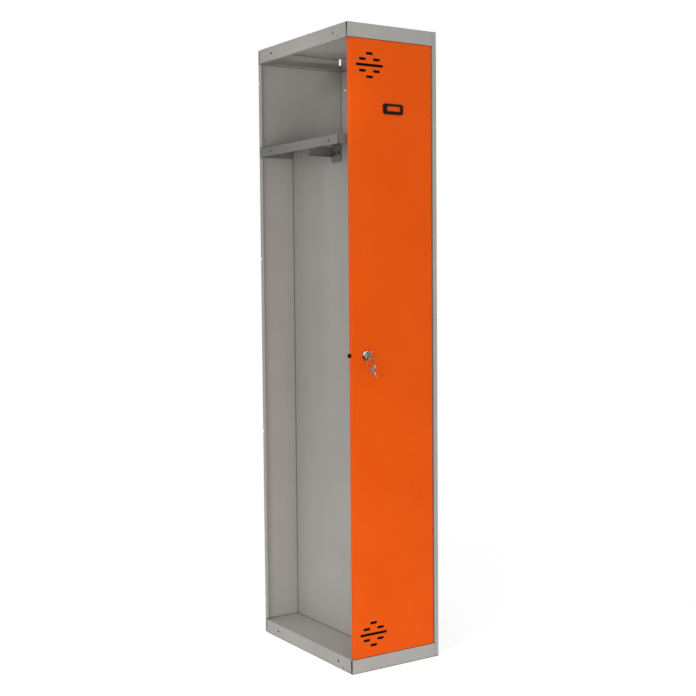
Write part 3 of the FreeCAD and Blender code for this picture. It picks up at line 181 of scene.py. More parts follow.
class Wiring:
    """Adds nodes to one shader tree and joins their sockets."""

    def __init__(self, tree):
        self.tree = tree

    def add(self, kind, inputs=None, **settings):
        node = self.tree.nodes.new(kind)
        for name, setting in settings.items():
            setattr(node, name, setting)
        for name, given in (inputs or {}).items():
            self.feed(node, name, given)
        return node

    def feed(self, node, name, given):
        if isinstance(given, bpy.types.NodeSocket):
            self.tree.links.new(given, node.inputs[name])
        else:
            node.inputs[name].default_value = given

    def maths(self, operation, first, second=0.0):
        return self.add("ShaderNodeMath", {0: first, 1: second}, operation=operation).outputs[0]

    def scaled(self, given, factor):
        return self.maths("MULTIPLY", given, factor)

    def span(self, given, low, high, to_low=0.0, to_high=1.0):
        """Maps low..high to to_low..to_high, and holds the ends."""
        inputs = {"Value": given, "From Min": low, "From Max": high, "To Min": to_low, "To Max": to_high}
        return self.add("ShaderNodeMapRange", inputs).outputs["Result"]

    def blend(self, factor, first, second):
        """Colour that goes from the first to the second as factor goes from 0 to 1."""
        return self.add("ShaderNodeMix", {0: factor, 6: first, 7: second}, data_type="RGBA").outputs[2]

    def noise(self, place, scale, detail=2.0, roughness=0.5):
        inputs = {"Vector": place, "Scale": scale, "Detail": detail, "Roughness": roughness}
        return self.add("ShaderNodeTexNoise", inputs).outputs["Fac"]

    def stretched(self, place, factors, turn):
        inputs = {"Vector": place, "Rotation": turn, "Scale": factors}
        return self.add("ShaderNodeMapping", inputs).outputs["Vector"]

    def bump(self, height, strength, depth, normal=None):
        inputs = {"Height": height, "Strength": strength, "Distance": depth}
        if normal is not None:
            inputs["Normal"] = normal
        return self.add("ShaderNodeBump", inputs).outputs["Normal"]

    def effect(self, tree, inputs):
        return self.add("ShaderNodeGroup", inputs, node_tree=tree).outputs


def shader_group(name, inputs, outputs):
    """New effect: its wiring, the sockets that come in and the node that takes what goes out."""
    tree = bpy.data.node_groups.new(name, "ShaderNodeTree")
    for label, kind in inputs:
        tree.interface.new_socket(label, in_out="INPUT", socket_type=kind)
    for label in outputs:
        kind = "NodeSocketVector" if label == "Normal" else "NodeSocketFloat"
        tree.interface.new_socket(label, in_out="OUTPUT", socket_type=kind)
    wiring = Wiring(tree)
    return wiring, wiring.add("NodeGroupInput").outputs, wiring.add("NodeGroupOutput")


PLACE = ("Place", "NodeSocketVector")
PEEL_SHARE = 0.8
DRIFT_SHARE = 0.7
SPECKLE_FINENESS = 6.5
RIPPLE_FINENESS = 9.0


def powder_grain():
    """Cured powder: orange peel with fine speckle as a height, and a slow drift of tone and gloss."""
    inputs = [PLACE, ("Peel per metre", "NodeSocketFloat"), ("Drift per metre", "NodeSocketFloat")]
    wiring, given, out = shader_group("powder_grain", inputs, ["Height", "Tone", "Gloss"])
    peel = wiring.noise(given["Place"], given["Peel per metre"], 1.5)
    speckles = wiring.scaled(given["Peel per metre"], SPECKLE_FINENESS)
    speckle = wiring.noise(given["Place"], speckles, 0.0)
    drift = wiring.noise(given["Place"], given["Drift per metre"], 4.0, 0.6)
    coarse = wiring.scaled(peel, PEEL_SHARE)
    fine = wiring.scaled(speckle, 1 - PEEL_SHARE)
    wiring.feed(out, "Height", wiring.maths("ADD", coarse, fine))
    slow_tone = wiring.span(drift, 0.35, 0.65, 0, DRIFT_SHARE)
    fine_tone = wiring.span(speckle, 0.3, 0.7, 0, 1 - DRIFT_SHARE)
    wiring.feed(out, "Tone", wiring.maths("ADD", slow_tone, fine_tone))
    wiring.feed(out, "Gloss", wiring.span(drift, 0.3, 0.7))
    return out.id_data


def rubbed_and_highlit_edges():
    """Normal that rounds sharp edges, and a patchy mask of the thin line along them: rubbed wear on paint
    and plastic, a painted highlight on plated metal.
    """
    inputs = [PLACE, ("Width", "NodeSocketFloat"), ("Patches per metre", "NodeSocketFloat")]
    wiring, given, out = shader_group("rubbed_and_highlit_edges", inputs, ["Mask", "Normal"])
    rounded = wiring.add("ShaderNodeBevel", {"Radius": given["Width"]}, samples=4).outputs["Normal"]
    flat = wiring.add("ShaderNodeNewGeometry").outputs["Normal"]
    likeness = wiring.add("ShaderNodeVectorMath", {0: rounded, 1: flat}, operation="DOT_PRODUCT")
    edge = wiring.span(likeness.outputs["Value"], 0.97, 0.8)
    patches = wiring.span(wiring.noise(given["Place"], given["Patches per metre"], 3.0, 0.65), 0.42, 0.62)
    wiring.feed(out, "Mask", wiring.maths("MULTIPLY", edge, patches))
    wiring.feed(out, "Normal", rounded)
    return out.id_data


def corner_shade():
    """Mask of the thin line of painted shade where two sheets meet in an inner corner, from ambient
    occlusion.
    """
    wiring, given, out = shader_group("corner_shade", [("Reach", "NodeSocketFloat")], ["Mask"])
    openness = wiring.add("ShaderNodeAmbientOcclusion", {"Distance": given["Reach"]}, samples=8)
    wiring.feed(out, "Mask", wiring.span(openness.outputs["AO"], 0.85, 0.55))
    return out.id_data


def settled_dust():
    """Mask of the dust that lies on faces that look up."""
    inputs = [PLACE, ("Drift per metre", "NodeSocketFloat")]
    wiring, given, out = shader_group("settled_dust", inputs, ["Mask"])
    normal = wiring.add("ShaderNodeNewGeometry").outputs["Normal"]
    rise = wiring.add("ShaderNodeSeparateXYZ", {"Vector": normal}).outputs["Z"]
    lying = wiring.span(rise, 0.6, 0.98)
    drift = wiring.span(wiring.noise(given["Place"], given["Drift per metre"], 5.0, 0.7), 0.35, 0.7)
    wiring.feed(out, "Mask", wiring.maths("MULTIPLY", lying, drift))
    return out.id_data


def fine_scratches():
    """Mask of hairline scratches in two directions, thinned out by patches."""
    inputs = [PLACE, ("Lines per metre", "NodeSocketFloat"), ("Patches per metre", "NodeSocketFloat")]
    wiring, given, out = shader_group("fine_scratches", inputs, ["Mask"])
    lines = []
    for factors, turn in (((0.06, 1, 1), (0.3, 0.5, 0.2)), ((1, 1, 0.08), (0.4, -0.35, 0.9))):
        across = wiring.stretched(given["Place"], factors, turn)
        hair = wiring.maths("SUBTRACT", wiring.noise(across, given["Lines per metre"], 3.0, 0.6), 0.5)
        lines.append(wiring.span(wiring.maths("ABSOLUTE", hair), 0.0, 0.008, 1, 0))
    both = wiring.maths("MAXIMUM", lines[0], lines[1])
    patches = wiring.span(wiring.noise(given["Place"], given["Patches per metre"], 2.0), 0.5, 0.68)
    wiring.feed(out, "Mask", wiring.maths("MULTIPLY", both, patches))
    return out.id_data


def plating_cloud():
    """Plated metal: a cloudy tone and gloss, with the fine ripple of the base metal as a height."""
    inputs = [PLACE, ("Clouds per metre", "NodeSocketFloat")]
    wiring, given, out = shader_group("plating_cloud", inputs, ["Tone", "Gloss", "Height"])
    cloud = wiring.noise(given["Place"], given["Clouds per metre"], 4.0, 0.6)
    ripples = wiring.scaled(given["Clouds per metre"], RIPPLE_FINENESS)
    ripple = wiring.noise(given["Place"], ripples, 2.0)
    wiring.feed(out, "Tone", wiring.span(cloud, 0.35, 0.65))
    wiring.feed(out, "Gloss", wiring.span(ripple, 0.3, 0.7))
    wiring.feed(out, "Height", ripple)
    return out.id_data


GRAIN = powder_grain()
EDGES = rubbed_and_highlit_edges()
CORNERS = corner_shade()
DUST = settled_dust()
SCRATCHES = fine_scratches()
PLATING = plating_cloud()


def new_material(name):
    """Empty material: its wiring, its shader and the piece's own coordinates."""
    material = bpy.data.materials.new(name)
    material.use_nodes = True
    wiring = Wiring(material.node_tree)
    shader = material.node_tree.nodes["Principled BSDF"]
    place = wiring.add("ShaderNodeTexCoord").outputs["Object"]
    return material, wiring, shader, place


PAINT_SATIN = (0.34, 0.46)
PAINT_PEEL_DEPTH = 0.06 * MILLIMETRE
PAINT_HAIRLINES = 0.08
PAINT_RUBBING = 0.55
# Share of the painted shade that darkens inner corners
PAINTED_CORNER_SHADE = 0.75
DUST_DULLING = 0.3


def powder_coat(name, colour, pale, rubbed, painted_shade, gleam, dust):
    """Powder-coated sheet steel: satin orange peel, rubbed edges, painted shade in inner corners,
    hairlines and dust.
    """
    material, wiring, shader, place = new_material(name)
    grain = wiring.effect(GRAIN, {"Place": place, "Peel per metre": 620, "Drift per metre": 5})
    edges = wiring.effect(EDGES, {"Place": place, "Width": 0.6 * MILLIMETRE, "Patches per metre": 60})
    corners = wiring.effect(CORNERS, {"Reach": 6 * MILLIMETRE})
    lying = wiring.effect(DUST, {"Place": place, "Drift per metre": 14})
    hairs = wiring.effect(SCRATCHES, {"Place": place, "Lines per metre": 60, "Patches per metre": 9})
    tone = wiring.blend(grain["Tone"], colour, pale)
    marked = wiring.blend(wiring.scaled(hairs["Mask"], PAINT_HAIRLINES), tone, rubbed)
    worn = wiring.blend(wiring.scaled(edges["Mask"], PAINT_RUBBING), marked, rubbed)
    # Painted shade: inner corners darkened toward the shade colour by ambient occlusion
    corner_shaded = wiring.blend(wiring.scaled(corners["Mask"], PAINTED_CORNER_SHADE), worn, painted_shade)
    dust_mask = wiring.scaled(lying["Mask"], dust)
    wiring.feed(shader, "Base Color", wiring.blend(dust_mask, corner_shaded, DUST_GREY))
    satin = wiring.span(grain["Gloss"], 0, 1, *PAINT_SATIN)
    wiring.feed(shader, "Roughness", wiring.maths("ADD", satin, wiring.scaled(dust_mask, DUST_DULLING)))
    normal = wiring.bump(grain["Height"], strength=0.5, depth=PAINT_PEEL_DEPTH, normal=edges["Normal"])
    wiring.feed(shader, "Normal", normal)
    shader.inputs["Specular IOR Level"].default_value = 0.3
    shader.inputs["Specular Tint"].default_value = gleam
    return material


RIPPLE_DEPTH = 0.05 * MILLIMETRE
# Share of the painted highlight that whitens the edges of plated metal
EDGE_PAINTED_HIGHLIGHT = 0.3
SCRATCH_DULLING = 0.18


def plated(name, colour, shade, gloss, clouds, metal):
    """Plated metal: cloudy tone and gloss, hairline scratches and a painted highlight along the edges."""
    material, wiring, shader, place = new_material(name)
    cloud = wiring.effect(PLATING, {"Place": place, "Clouds per metre": clouds})
    hairs = wiring.effect(SCRATCHES, {"Place": place, "Lines per metre": 420, "Patches per metre": 90})
    edges = wiring.effect(EDGES, {"Place": place, "Width": 0.4 * MILLIMETRE, "Patches per metre": 150})
    tone = wiring.blend(cloud["Tone"], colour, shade)
    # Painted highlight: the plating's edges blended toward white
    shine = wiring.scaled(edges["Mask"], EDGE_PAINTED_HIGHLIGHT)
    wiring.feed(shader, "Base Color", wiring.blend(shine, tone, WHITE))
    polish = wiring.span(cloud["Gloss"], 0, 1, *gloss)
    dulled = wiring.scaled(hairs["Mask"], SCRATCH_DULLING)
    wiring.feed(shader, "Roughness", wiring.maths("ADD", polish, dulled))
    normal = wiring.bump(cloud["Height"], strength=0.15, depth=RIPPLE_DEPTH, normal=edges["Normal"])
    wiring.feed(shader, "Normal", normal)
    shader.inputs["Metallic"].default_value = metal
    return material


BLACK_RUBBING = 0.5
BLACK_DUST = 0.06


def black_finish(name, colour, gloss, grain_scale, grain_depth):
    """Black plastic or lacquer: fine moulded grain and edges rubbed grey."""
    material, wiring, shader, place = new_material(name)
    grain = wiring.effect(GRAIN, {"Place": place, "Peel per metre": grain_scale, "Drift per metre": 40})
    edges = wiring.effect(EDGES, {"Place": place, "Width": 0.4 * MILLIMETRE, "Patches per metre": 120})
    lying = wiring.effect(DUST, {"Place": place, "Drift per metre": 60})
    worn = wiring.blend(wiring.scaled(edges["Mask"], BLACK_RUBBING), colour, BLACK_RUBBED)
    dusted = wiring.blend(wiring.scaled(lying["Mask"], BLACK_DUST), worn, DUST_GREY)
    wiring.feed(shader, "Base Color", dusted)
    wiring.feed(shader, "Roughness", wiring.span(grain["Gloss"], 0, 1, *gloss))
    depth = grain_depth * MILLIMETRE
    normal = wiring.bump(grain["Height"], strength=0.4, depth=depth, normal=edges["Normal"])
    wiring.feed(shader, "Normal", normal)
    shader.inputs["Specular IOR Level"].default_value = 0.2
    return material


GAUZE_BANDS = 157
GAUZE_DEPTH = 0.2 * MILLIMETRE


def black_gauze(name):
    """Woven black gauze behind the vents: threads that cross in two directions, with painted shade in the
    gaps between them.
    """
    material, wiring, shader, place = new_material(name)
    threads = []
    for axis in ("X", "Z"):
        wave_inputs = {"Vector": place, "Scale": GAUZE_BANDS, "Distortion": 0.4, "Detail": 1.0}
        wave = wiring.add("ShaderNodeTexWave", wave_inputs, wave_type="BANDS", bands_direction=axis)
        threads.append(wave.outputs["Fac"])
    weave = wiring.maths("MAXIMUM", threads[0], threads[1])
    # Gaps between the threads are painted darker than the threads, as painted shade
    wiring.feed(shader, "Base Color", wiring.blend(wiring.span(weave, 0.45, 0.8), BLACK_GAP_PAINTED_SHADE, BLACK_THREAD))
    wiring.feed(shader, "Roughness", wiring.span(weave, 0, 1, 0.95, 0.8))
    wiring.feed(shader, "Normal", wiring.bump(weave, strength=0.5, depth=GAUZE_DEPTH))
    shader.inputs["Specular IOR Level"].default_value = 0.1
    return material


# Paints: colour, its pale drift, where it is rubbed, its painted shade in inner corners, tint of its
# gloss, share of dust
PAINTS = {
    "carcass_paint": (CARCASS_GREY, CARCASS_GREY_PALE, GREY_RUBBED, GREY_PAINTED_SHADE, WHITE, 0.12),
    "fittings_paint": (FITTINGS_GREY, FITTINGS_GREY_PALE, GREY_RUBBED, GREY_PAINTED_SHADE, WHITE, 0.1),
    "door_paint": (DOOR_ORANGE, DOOR_ORANGE_PALE, DOOR_ORANGE_RUBBED, ORANGE_PAINTED_SHADE, ORANGE_GLEAM, 0.1),
}
# Platings: colour, its shade, range of roughness, clouds per metre, share of metal
PLATINGS = {
    "zinc_fasteners": (ZINC, ZINC_SHADE, (0.28, 0.45), 160, 1.0),
    "lock_chrome": (CHROME, CHROME_SHADE, (0.08, 0.18), 90, 1.0),
    "lock_hardware": (ZINC, ZINC_SHADE, (0.25, 0.4), 140, 1.0),
    "key_nickel": (NICKEL, NICKEL_SHADE, (0.34, 0.44), 45, 0.9),
}
# Blacks: colour, range of roughness, grain per metre, depth of the grain in millimetres
BLACKS = {
    "bush_plastic": (BLACK_NYLON, (0.42, 0.55), 1500, 0.03),
    "card_plastic": (BLACK_MOULDING, (0.34, 0.5), 1800, 0.04),
    "cam_black": (BLACK_LACQUER, (0.3, 0.45), 900, 0.02),
}
FINISHES = {"vent_black": black_gauze("vent_black")}
for make_finish, kinds in ((powder_coat, PAINTS), (plated, PLATINGS), (black_finish, BLACKS)):
    for slot_name, values in kinds.items():
        FINISHES[slot_name] = make_finish(slot_name, *values)


def dress(piece, slot):
    """Gives a piece the finish of its slot, and nothing else."""
    piece.data.materials.clear()
    piece.data.materials.append(FINISHES[slot])


for subpart in frame["record"]["subparts"]:
    dress(frame["nodes"][subpart["node"]], subpart["material_slot"])


def soften(node, width):
    """Rounds the sharp edges of a CAD node by width, and keeps its flat faces flat."""
    piece = frame["nodes"][node]
    joined = piece.modifiers.new("joined_corners", "WELD")
    joined.merge_threshold = SEAM_WELD
    rounded = piece.modifiers.new("rounded_edges", "BEVEL")
    rounded.width = width * MILLIMETRE
    rounded.segments = 2
    rounded.limit_method = "ANGLE"
    rounded.angle_limit = math.radians(40)
    rounded.harden_normals = True


for softened in ("left_coat_hook", "right_coat_hook", "card_holder", "lock_cam"):
    soften(softened, PLATE_ROUNDING)


def solids(node):
    """Lowest and highest corner of each separate solid of a CAD node."""
    sketch = bmesh.new()
    sketch.from_mesh(frame["nodes"][node].data)
    bmesh.ops.remove_doubles(sketch, verts=sketch.verts, dist=SOLID_WELD)
    waiting = set(sketch.verts)
    boxes = []
    while waiting:
        front = [waiting.pop()]
        island = []
        while front:
            corner = front.pop()
            island.append(corner.co.copy())
            for edge in corner.link_edges:
                other = edge.other_vert(corner)
                if other in waiting:
                    waiting.discard(other)
                    front.append(other)
        low = Vector(min(point[axis] for point in island) for axis in range(3))
        high = Vector(max(point[axis] for point in island) for axis in range(3))
        boxes.append((low, high))
    sketch.free()
    return sorted(boxes, key=lambda pair: tuple(round(value, 4) for value in pair[0]))


def ring_of(samples, radius_at, height_at):
    """Closed row of points round Z, in millimetres, with its radius and height given for each angle."""
    row = []
    for number in range(samples):
        angle = 2 * math.pi * number / samples
        radius = radius_at(angle)
        row.append(Vector((radius * math.cos(angle), radius * math.sin(angle), height_at(angle))))
    return row


def round_row(samples, radius, height):
    """Closed row of points on a level circle."""
    return ring_of(samples, lambda angle: radius, lambda angle: height)


def loft(sketch, rows, place, closed=False):
    """Skin over rows of points, each a closed loop, moved by place: capped, or closed on its first row."""
    made = [[sketch.verts.new(place @ (point * MILLIMETRE)) for point in row] for row in rows]
    pairs = list(zip(made, made[1:]))
    if closed:
        pairs.append((made[-1], made[0]))
    for first, second in pairs:
        count = len(first)
        for number in range(count):
            after = (number + 1) % count
            sketch.faces.new((first[number], first[after], second[after], second[number]))
    if not closed:
        sketch.faces.new(list(reversed(made[0])))
        sketch.faces.new(made[-1])


def make_piece(name, sketch, slot, body, nodes, sharp=35):
    """Piece from a sketch: dressed in its finish, riding on its body in place of CAD nodes.

    Edges that turn by more than sharp, in degrees, are shaded as corners.
    """
    bmesh.ops.recalc_face_normals(sketch, faces=sketch.faces)
    mesh = bpy.data.meshes.new(name)
    sketch.to_mesh(mesh)
    sketch.free()
    mesh.shade_smooth()
    mesh.set_sharp_from_angle(angle=math.radians(sharp))
    piece = bpy.data.objects.new(name, mesh)
    bpy.context.scene.collection.objects.link(piece)
    dress(piece, slot)
    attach(piece, body)
    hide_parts(*nodes)


def hex_radius(width):
    """Distance from the axis to a hexagon's outline at each angle."""
    def radius_at(angle):
        off_flat = (angle + math.pi / 6) % (math.pi / 3) - math.pi / 6
        return width / 2 / math.cos(off_flat)
    return radius_at


def hex_rows(width, low, high, both_ends):
    """Outline rows of a hexagon from its low face to its high one, chamfered on top or at both ends."""
    radius_at = hex_radius(width)
    land = width / 2 * HEX_LAND_SHARE

    def drop(angle):
        return max(0.0, radius_at(angle) - land) * HEX_CHAMFER

    if both_ends:
        rows = [round_row(HEX_SAMPLES, land, low)]
        rows.append(ring_of(HEX_SAMPLES, radius_at, lambda angle: low + drop(angle)))
    else:
        rows = [ring_of(HEX_SAMPLES, radius_at, lambda angle: low)]
    rows.append(ring_of(HEX_SAMPLES, radius_at, lambda angle: high - drop(angle)))
    rows.append(round_row(HEX_SAMPLES, land, high))
    return rows


def thread_rows(samples, radius, low, high, pitch, depth, step):
    """Rows of a screw thread's flank from low to high."""
    rows = []
    count = round((high - low) / step)
    for number in range(count + 1):
        height = low + (high - low) * number / count

        def radius_at(angle, height=height):
            turn = (height / pitch - angle / (2 * math.pi)) % 1
            return radius - depth * abs(2 * turn - 1)

        rows.append(ring_of(samples, radius_at, lambda angle, height=height: height))
    return rows


def add_bolt(sketch, place, grip):
    """Hexagon bolt: chamfered head above the clamped faces, threaded shank below with a chamfered tip."""
    tip = -grip - NUT_HEIGHT - BOLT_SPARE
    rows = [round_row(HEX_SAMPLES, BOLT_RADIUS - BOLT_TIP_INSET, tip)]
    rows += thread_rows(
        HEX_SAMPLES, BOLT_RADIUS, tip + BOLT_TIP_LENGTH, -THREAD_RUNOUT,
        THREAD_PITCH, THREAD_DEPTH, THREAD_STEP,
    )
    rows.append(round_row(HEX_SAMPLES, BOLT_RADIUS, -BOLT_NECK))
    rows.append(round_row(HEX_SAMPLES, BOLT_RADIUS, 0))
    rows += hex_rows(BOLT_HEAD_WIDTH, 0, BOLT_HEAD_HEIGHT, both_ends=False)
    loft(sketch, rows, place)


def add_nut(sketch, place, width, bore, low, high):
    """Hexagon nut, chamfered on both faces and bored through."""
    rows = hex_rows(width, low, high, both_ends=True)
    rows.append(round_row(HEX_SAMPLES, bore + BORE_CHAMFER, high))
    rows.append(round_row(HEX_SAMPLES, bore, high - BORE_CHAMFER))
    rows.append(round_row(HEX_SAMPLES, bore, low + BORE_CHAMFER))
    rows.append(round_row(HEX_SAMPLES, bore + BORE_CHAMFER, low))
    loft(sketch, rows, place, closed=True)


def add_rivet(sketch, place, shank, head, grip):
    """Blind rivet: domed head round the broken mandrel, plain shank and the bulb behind.

    The bulb's rows are shares of the shank's radius and depths behind the grip. The dome's rows are
    shares of the head's radius and height.
    """
    half = shank / 2
    outer = head / 2
    high = RIVET_HEAD_HEIGHT
    bulb = [(0.35, 2.0), (0.62, 1.95), (1.0, 1.8), (1.38, 1.3), (1.48, 0.8), (1.3, 0.25), (1.0, 0.0)]
    dome = [
        (0.94, 0.0), (1.0, 0.1), (0.99, 0.24), (0.9, 0.52), (0.76, 0.77), (0.58, 0.93), (0.4, 1.0),
        (0.33, 0.98), (0.3, 0.86), (0.29, 0.62), (0.2, 0.58),
    ]
    rows = [round_row(TURNED_SAMPLES, share * half, -grip - depth) for share, depth in bulb]
    rows.append(round_row(TURNED_SAMPLES, half, 0))
    rows += [round_row(TURNED_SAMPLES, share * outer, rise * high) for share, rise in dome]
    loft(sketch, rows, place)


def seat(low, high, axis, head):
    """Place of a fastener whose head stands out along axis from the face it sits on."""
    axis = Vector(axis)
    reach = sum(abs(part) * side for part, side in zip(axis, high - low)) / 2
    origin = (low + high) / 2 + axis * (reach - head * MILLIMETRE)
    return Matrix.Translation(origin) @ axis.to_track_quat("Z", "Y").to_matrix().to_4x4()


def spun(place, number):
    """The place, turned about its own axis as each fastener stops somewhere else."""
    return place @ Matrix.Rotation(FIRST_TURN + NEXT_TURN * number, 4, "Z")


RIGHTWARD = (1, 0, 0)
LEFTWARD = (-1, 0, 0)
REARWARD = (0, 1, 0)
FRONTWARD = (0, -1, 0)
UPWARD = (0, 0, 1)


def make_bolts():
    """Threaded bolts and chamfered nuts of the trays, the shelf and the hooks."""
    joints = [
        ("tray", RIGHTWARD, SIDE_GRIP),
        ("shelf", RIGHTWARD, SIDE_GRIP),
        ("hook", LEFTWARD, HOOK_GRIP),
    ]
    for joined, axis, grip in joints:
        bolt_node = joined + "_bolts"
        nut_node = joined + "_nuts"
        bolts = bmesh.new()
        nuts = bmesh.new()
        for number, (low, high) in enumerate(solids(bolt_node)):
            place = seat(low, high, axis, BOLT_HEAD_HEIGHT)
            add_bolt(bolts, spun(place, number), grip)
            add_nut(nuts, spun(place, number + 5), BOLT_HEAD_WIDTH, NUT_BORE, -grip - NUT_HEIGHT, -grip)
        make_piece(bolt_node + "_threaded", bolts, "zinc_fasteners", "carcass", [bolt_node])
        make_piece(nut_node + "_chamfered", nuts, "zinc_fasteners", "carcass", [nut_node])


def make_rivets():
    """Domed rivets: node, way of the head, shank and head widths, grip, finish and body."""
    kinds = [
        ("back_panel_rivets", REARWARD, 4.0, 8.0, 2.0, "carcass_paint", "carcass"),
        ("partition_rivets", UPWARD, 4.0, 8.0, 2.0, "carcass_paint", "carcass"),
        ("card_holder_rivets", FRONTWARD, 3.2, 5.6, 5.0, "card_plastic", "door"),
    ]
    for node, axis, shank, head, grip, slot, body in kinds:
        sketch = bmesh.new()
        for low, high in solids(node):
            add_rivet(sketch, seat(low, high, axis, RIVET_HEAD_HEIGHT), shank, head, grip)
        make_piece(node + "_domed", sketch, slot, body, [node])


def lock_place():
    """Place on the door's front face at the lock's axis, with +Z out of the door and +Y up."""
    low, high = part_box("lock_housing")
    centre = (low + high) / 2
    origin = Vector((centre.x, low.y + LOCK_HEAD_HEIGHT * MILLIMETRE, centre.z))
    return Matrix.Translation(origin) @ Matrix.Rotation(math.radians(90), 4, "X")


def make_lock_body():
    """Lock housing with a rolled chrome head and a flattened, threaded barrel, and its nut.

    Its turned rows are radius and height, and the height is 0 at the door's front face.
    """
    place = lock_place()
    rear_end = [(LOCK_BORE, LOCK_REAR), (LOCK_REAR_RADIUS, LOCK_REAR)]
    neck = [(LOCK_BARREL_RADIUS, LOCK_NECK), (LOCK_BARREL_RADIUS, 0)]
    head = [
        (13.3, 0), (13.65, 0.15), (13.75, 0.45), (13.75, 1.35), (13.62, 1.75), (13.2, 2.5), (12.65, 3.45),
        (12.05, 4.35), (11.5, 5.0), (11.0, 5.36), (10.5, LOCK_HEAD_HEIGHT),
    ]
    recess = [
        (9.95, LOCK_HEAD_HEIGHT), (9.7, 5.4), (9.6, 5.15), (9.6, 2.75), (9.45, 2.5), (6.85, 2.5),
        (LOCK_BORE, 2.2),
    ]
    thread = thread_rows(
        TURNED_SAMPLES, LOCK_BARREL_RADIUS, *LOCK_THREAD,
        LOCK_THREAD_PITCH, LOCK_THREAD_DEPTH, LOCK_THREAD_STEP,
    )
    rows = [round_row(TURNED_SAMPLES, radius, height) for radius, height in rear_end] + thread
    rows += [round_row(TURNED_SAMPLES, radius, height) for radius, height in neck + head + recess]
    for row in rows:
        for point in row:
            if point.z < 0:
                point.x = max(-LOCK_FLAT, min(LOCK_FLAT, point.x))
    sketch = bmesh.new()
    loft(sketch, rows, place, closed=True)
    make_piece("lock_housing_rolled", sketch, "lock_chrome", "door", ["lock_housing"], sharp=40)
    nut = bmesh.new()
    add_nut(nut, spun(place, 2), LOCK_NUT_WIDTH, LOCK_NUT_BORE, -LOCK_GRIP - LOCK_NUT_HEIGHT, -LOCK_GRIP)
    make_piece("lock_nut_chamfered", nut, "lock_hardware", "door", ["lock_nut"])


def arc_points(centre, radius, start, end, steps=6):
    """Points on an arc, angles in degrees."""
    points = []
    for number in range(steps + 1):
        angle = math.radians(start + (end - start) * number / steps)
        points.append((centre[0] + radius * math.cos(angle), centre[1] + radius * math.sin(angle)))
    return points


def bow_mesh():
    """Key's bow: a rounded plate with a long slot and softened edges, y across and z out of the lock."""
    low, high = KEY_BOW
    inner = KEY_HALF_BOW - KEY_BOW_CORNER
    corners = [(inner, high - KEY_BOW_CORNER, 0), (-inner, high - KEY_BOW_CORNER, 90)]
    corners += [(-inner, low + KEY_BOW_CORNER, 180), (inner, low + KEY_BOW_CORNER, 270)]
    outline = []
    for x, y, start in corners:
        outline += arc_points((x, y), KEY_BOW_CORNER, start, start + 90)
    slot = arc_points((KEY_SLOT_REACH, KEY_SLOT_OUT), KEY_SLOT_RADIUS, -90, 90, steps=10)
    slot += arc_points((-KEY_SLOT_REACH, KEY_SLOT_OUT), KEY_SLOT_RADIUS, 90, 270, steps=10)
    curve = bpy.data.curves.new("key_bow", "CURVE")
    curve.dimensions = "2D"
    curve.fill_mode = "BOTH"
    curve.extrude = (KEY_HALF_THICK - KEY_EDGE) * MILLIMETRE
    curve.bevel_depth = KEY_EDGE * MILLIMETRE
    curve.bevel_resolution = 2
    curve.offset = -KEY_EDGE * MILLIMETRE
    for points in (outline, slot):
        spline = curve.splines.new("POLY")
        spline.points.add(len(points) - 1)
        for point, (x, y) in zip(spline.points, points):
            point.co = (x * MILLIMETRE, y * MILLIMETRE, 0, 1)
        spline.use_cyclic_u = True
    holder = bpy.data.objects.new("key_bow", curve)
    bpy.context.scene.collection.objects.link(holder)
    mesh = bpy.data.meshes.new_from_object(holder.evaluated_get(bpy.context.evaluated_depsgraph_get()))
    bpy.data.objects.remove(holder)
    bpy.data.curves.remove(curve)
    return mesh


def blade_rows():
    """Rows of the key's blade from the bow to its tip: a grooved section that the cuts clip from below."""
    flat = KEY_HALF_BLADE_THICK
    edge = KEY_HALF_BLADE
    outsets = [flat, KEY_HALF_GROOVED, KEY_HALF_GROOVED, flat]
    one_side = [(flat, -edge)] + list(zip(outsets, KEY_GROOVE)) + [(flat, edge)]
    section = one_side + [(-x, -y) for x, y in one_side]
    cuts = [KEY_SHALLOW, KEY_DEEP, KEY_SHALLOW, KEY_DEEP, KEY_SHALLOW]
    low_edge = [-edge] * 3 + cuts + [-KEY_HALF_TIP]
    high_edge = [edge] * (len(low_edge) - 1) + [KEY_HALF_TIP]
    stations = [KEY_BOW[0] + KEY_BOW_LAP, KEY_BOW[0] - KEY_SHOULDER]
    stations += [KEY_TIP + number * KEY_CUT_PITCH for number in range(len(cuts) + 1, 0, -1)]
    stations.append(KEY_TIP)
    rows = []
    for station, low, high in zip(stations, low_edge, high_edge):
        rows.append([Vector((x, max(low, min(high, y)), station)) for x, y in section])
    return rows


def make_key(name, place, body, node):
    """Key in its place: the bow turned into the blade's plane, and the cut blade."""
    sketch = bmesh.new()
    bow = bow_mesh()
    sketch.from_mesh(bow)
    bpy.data.meshes.remove(bow)
    flat = Matrix(((0, 0, 1, 0), (1, 0, 0, 0), (0, 1, 0, 0), (0, 0, 0, 1)))
    bmesh.ops.transform(sketch, matrix=place @ flat, verts=sketch.verts)
    bmesh.ops.remove_doubles(sketch, verts=sketch.verts, dist=SEAM_WELD)
    loft(sketch, blade_rows(), place)
    make_piece(name, sketch, "key_nickel", body, [node], sharp=30)


def spare_place():
    """Place of the spare key, which hangs by one end of its slot on the ring's lowest wire."""
    low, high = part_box("key_ring")
    centre = (low + high) / 2
    wire = centre - Vector((0, 0, RING_RADIUS * MILLIMETRE))
    corners = [corner.co for corner in frame["nodes"]["spare_key"].data.vertices]
    tip = max(corners, key=lambda corner: (corner - wire).length) - wire
    slot_end = KEY_SLOT_REACH + KEY_SLOT_RADIUS - KEY_SLOT_PLAY - RING_WIRE / math.sqrt(2)
    hang = Vector((0, slot_end, KEY_SLOT_OUT)) * MILLIMETRE
    own_tip = Vector((0, 0, KEY_TIP * MILLIMETRE)) - hang
    lean = math.atan2(tip.z, tip.y) - math.atan2(own_tip.z, own_tip.y)
    return Matrix.Translation(wire) @ Matrix.Rotation(lean, 4, "X") @ Matrix.Translation(-hang)


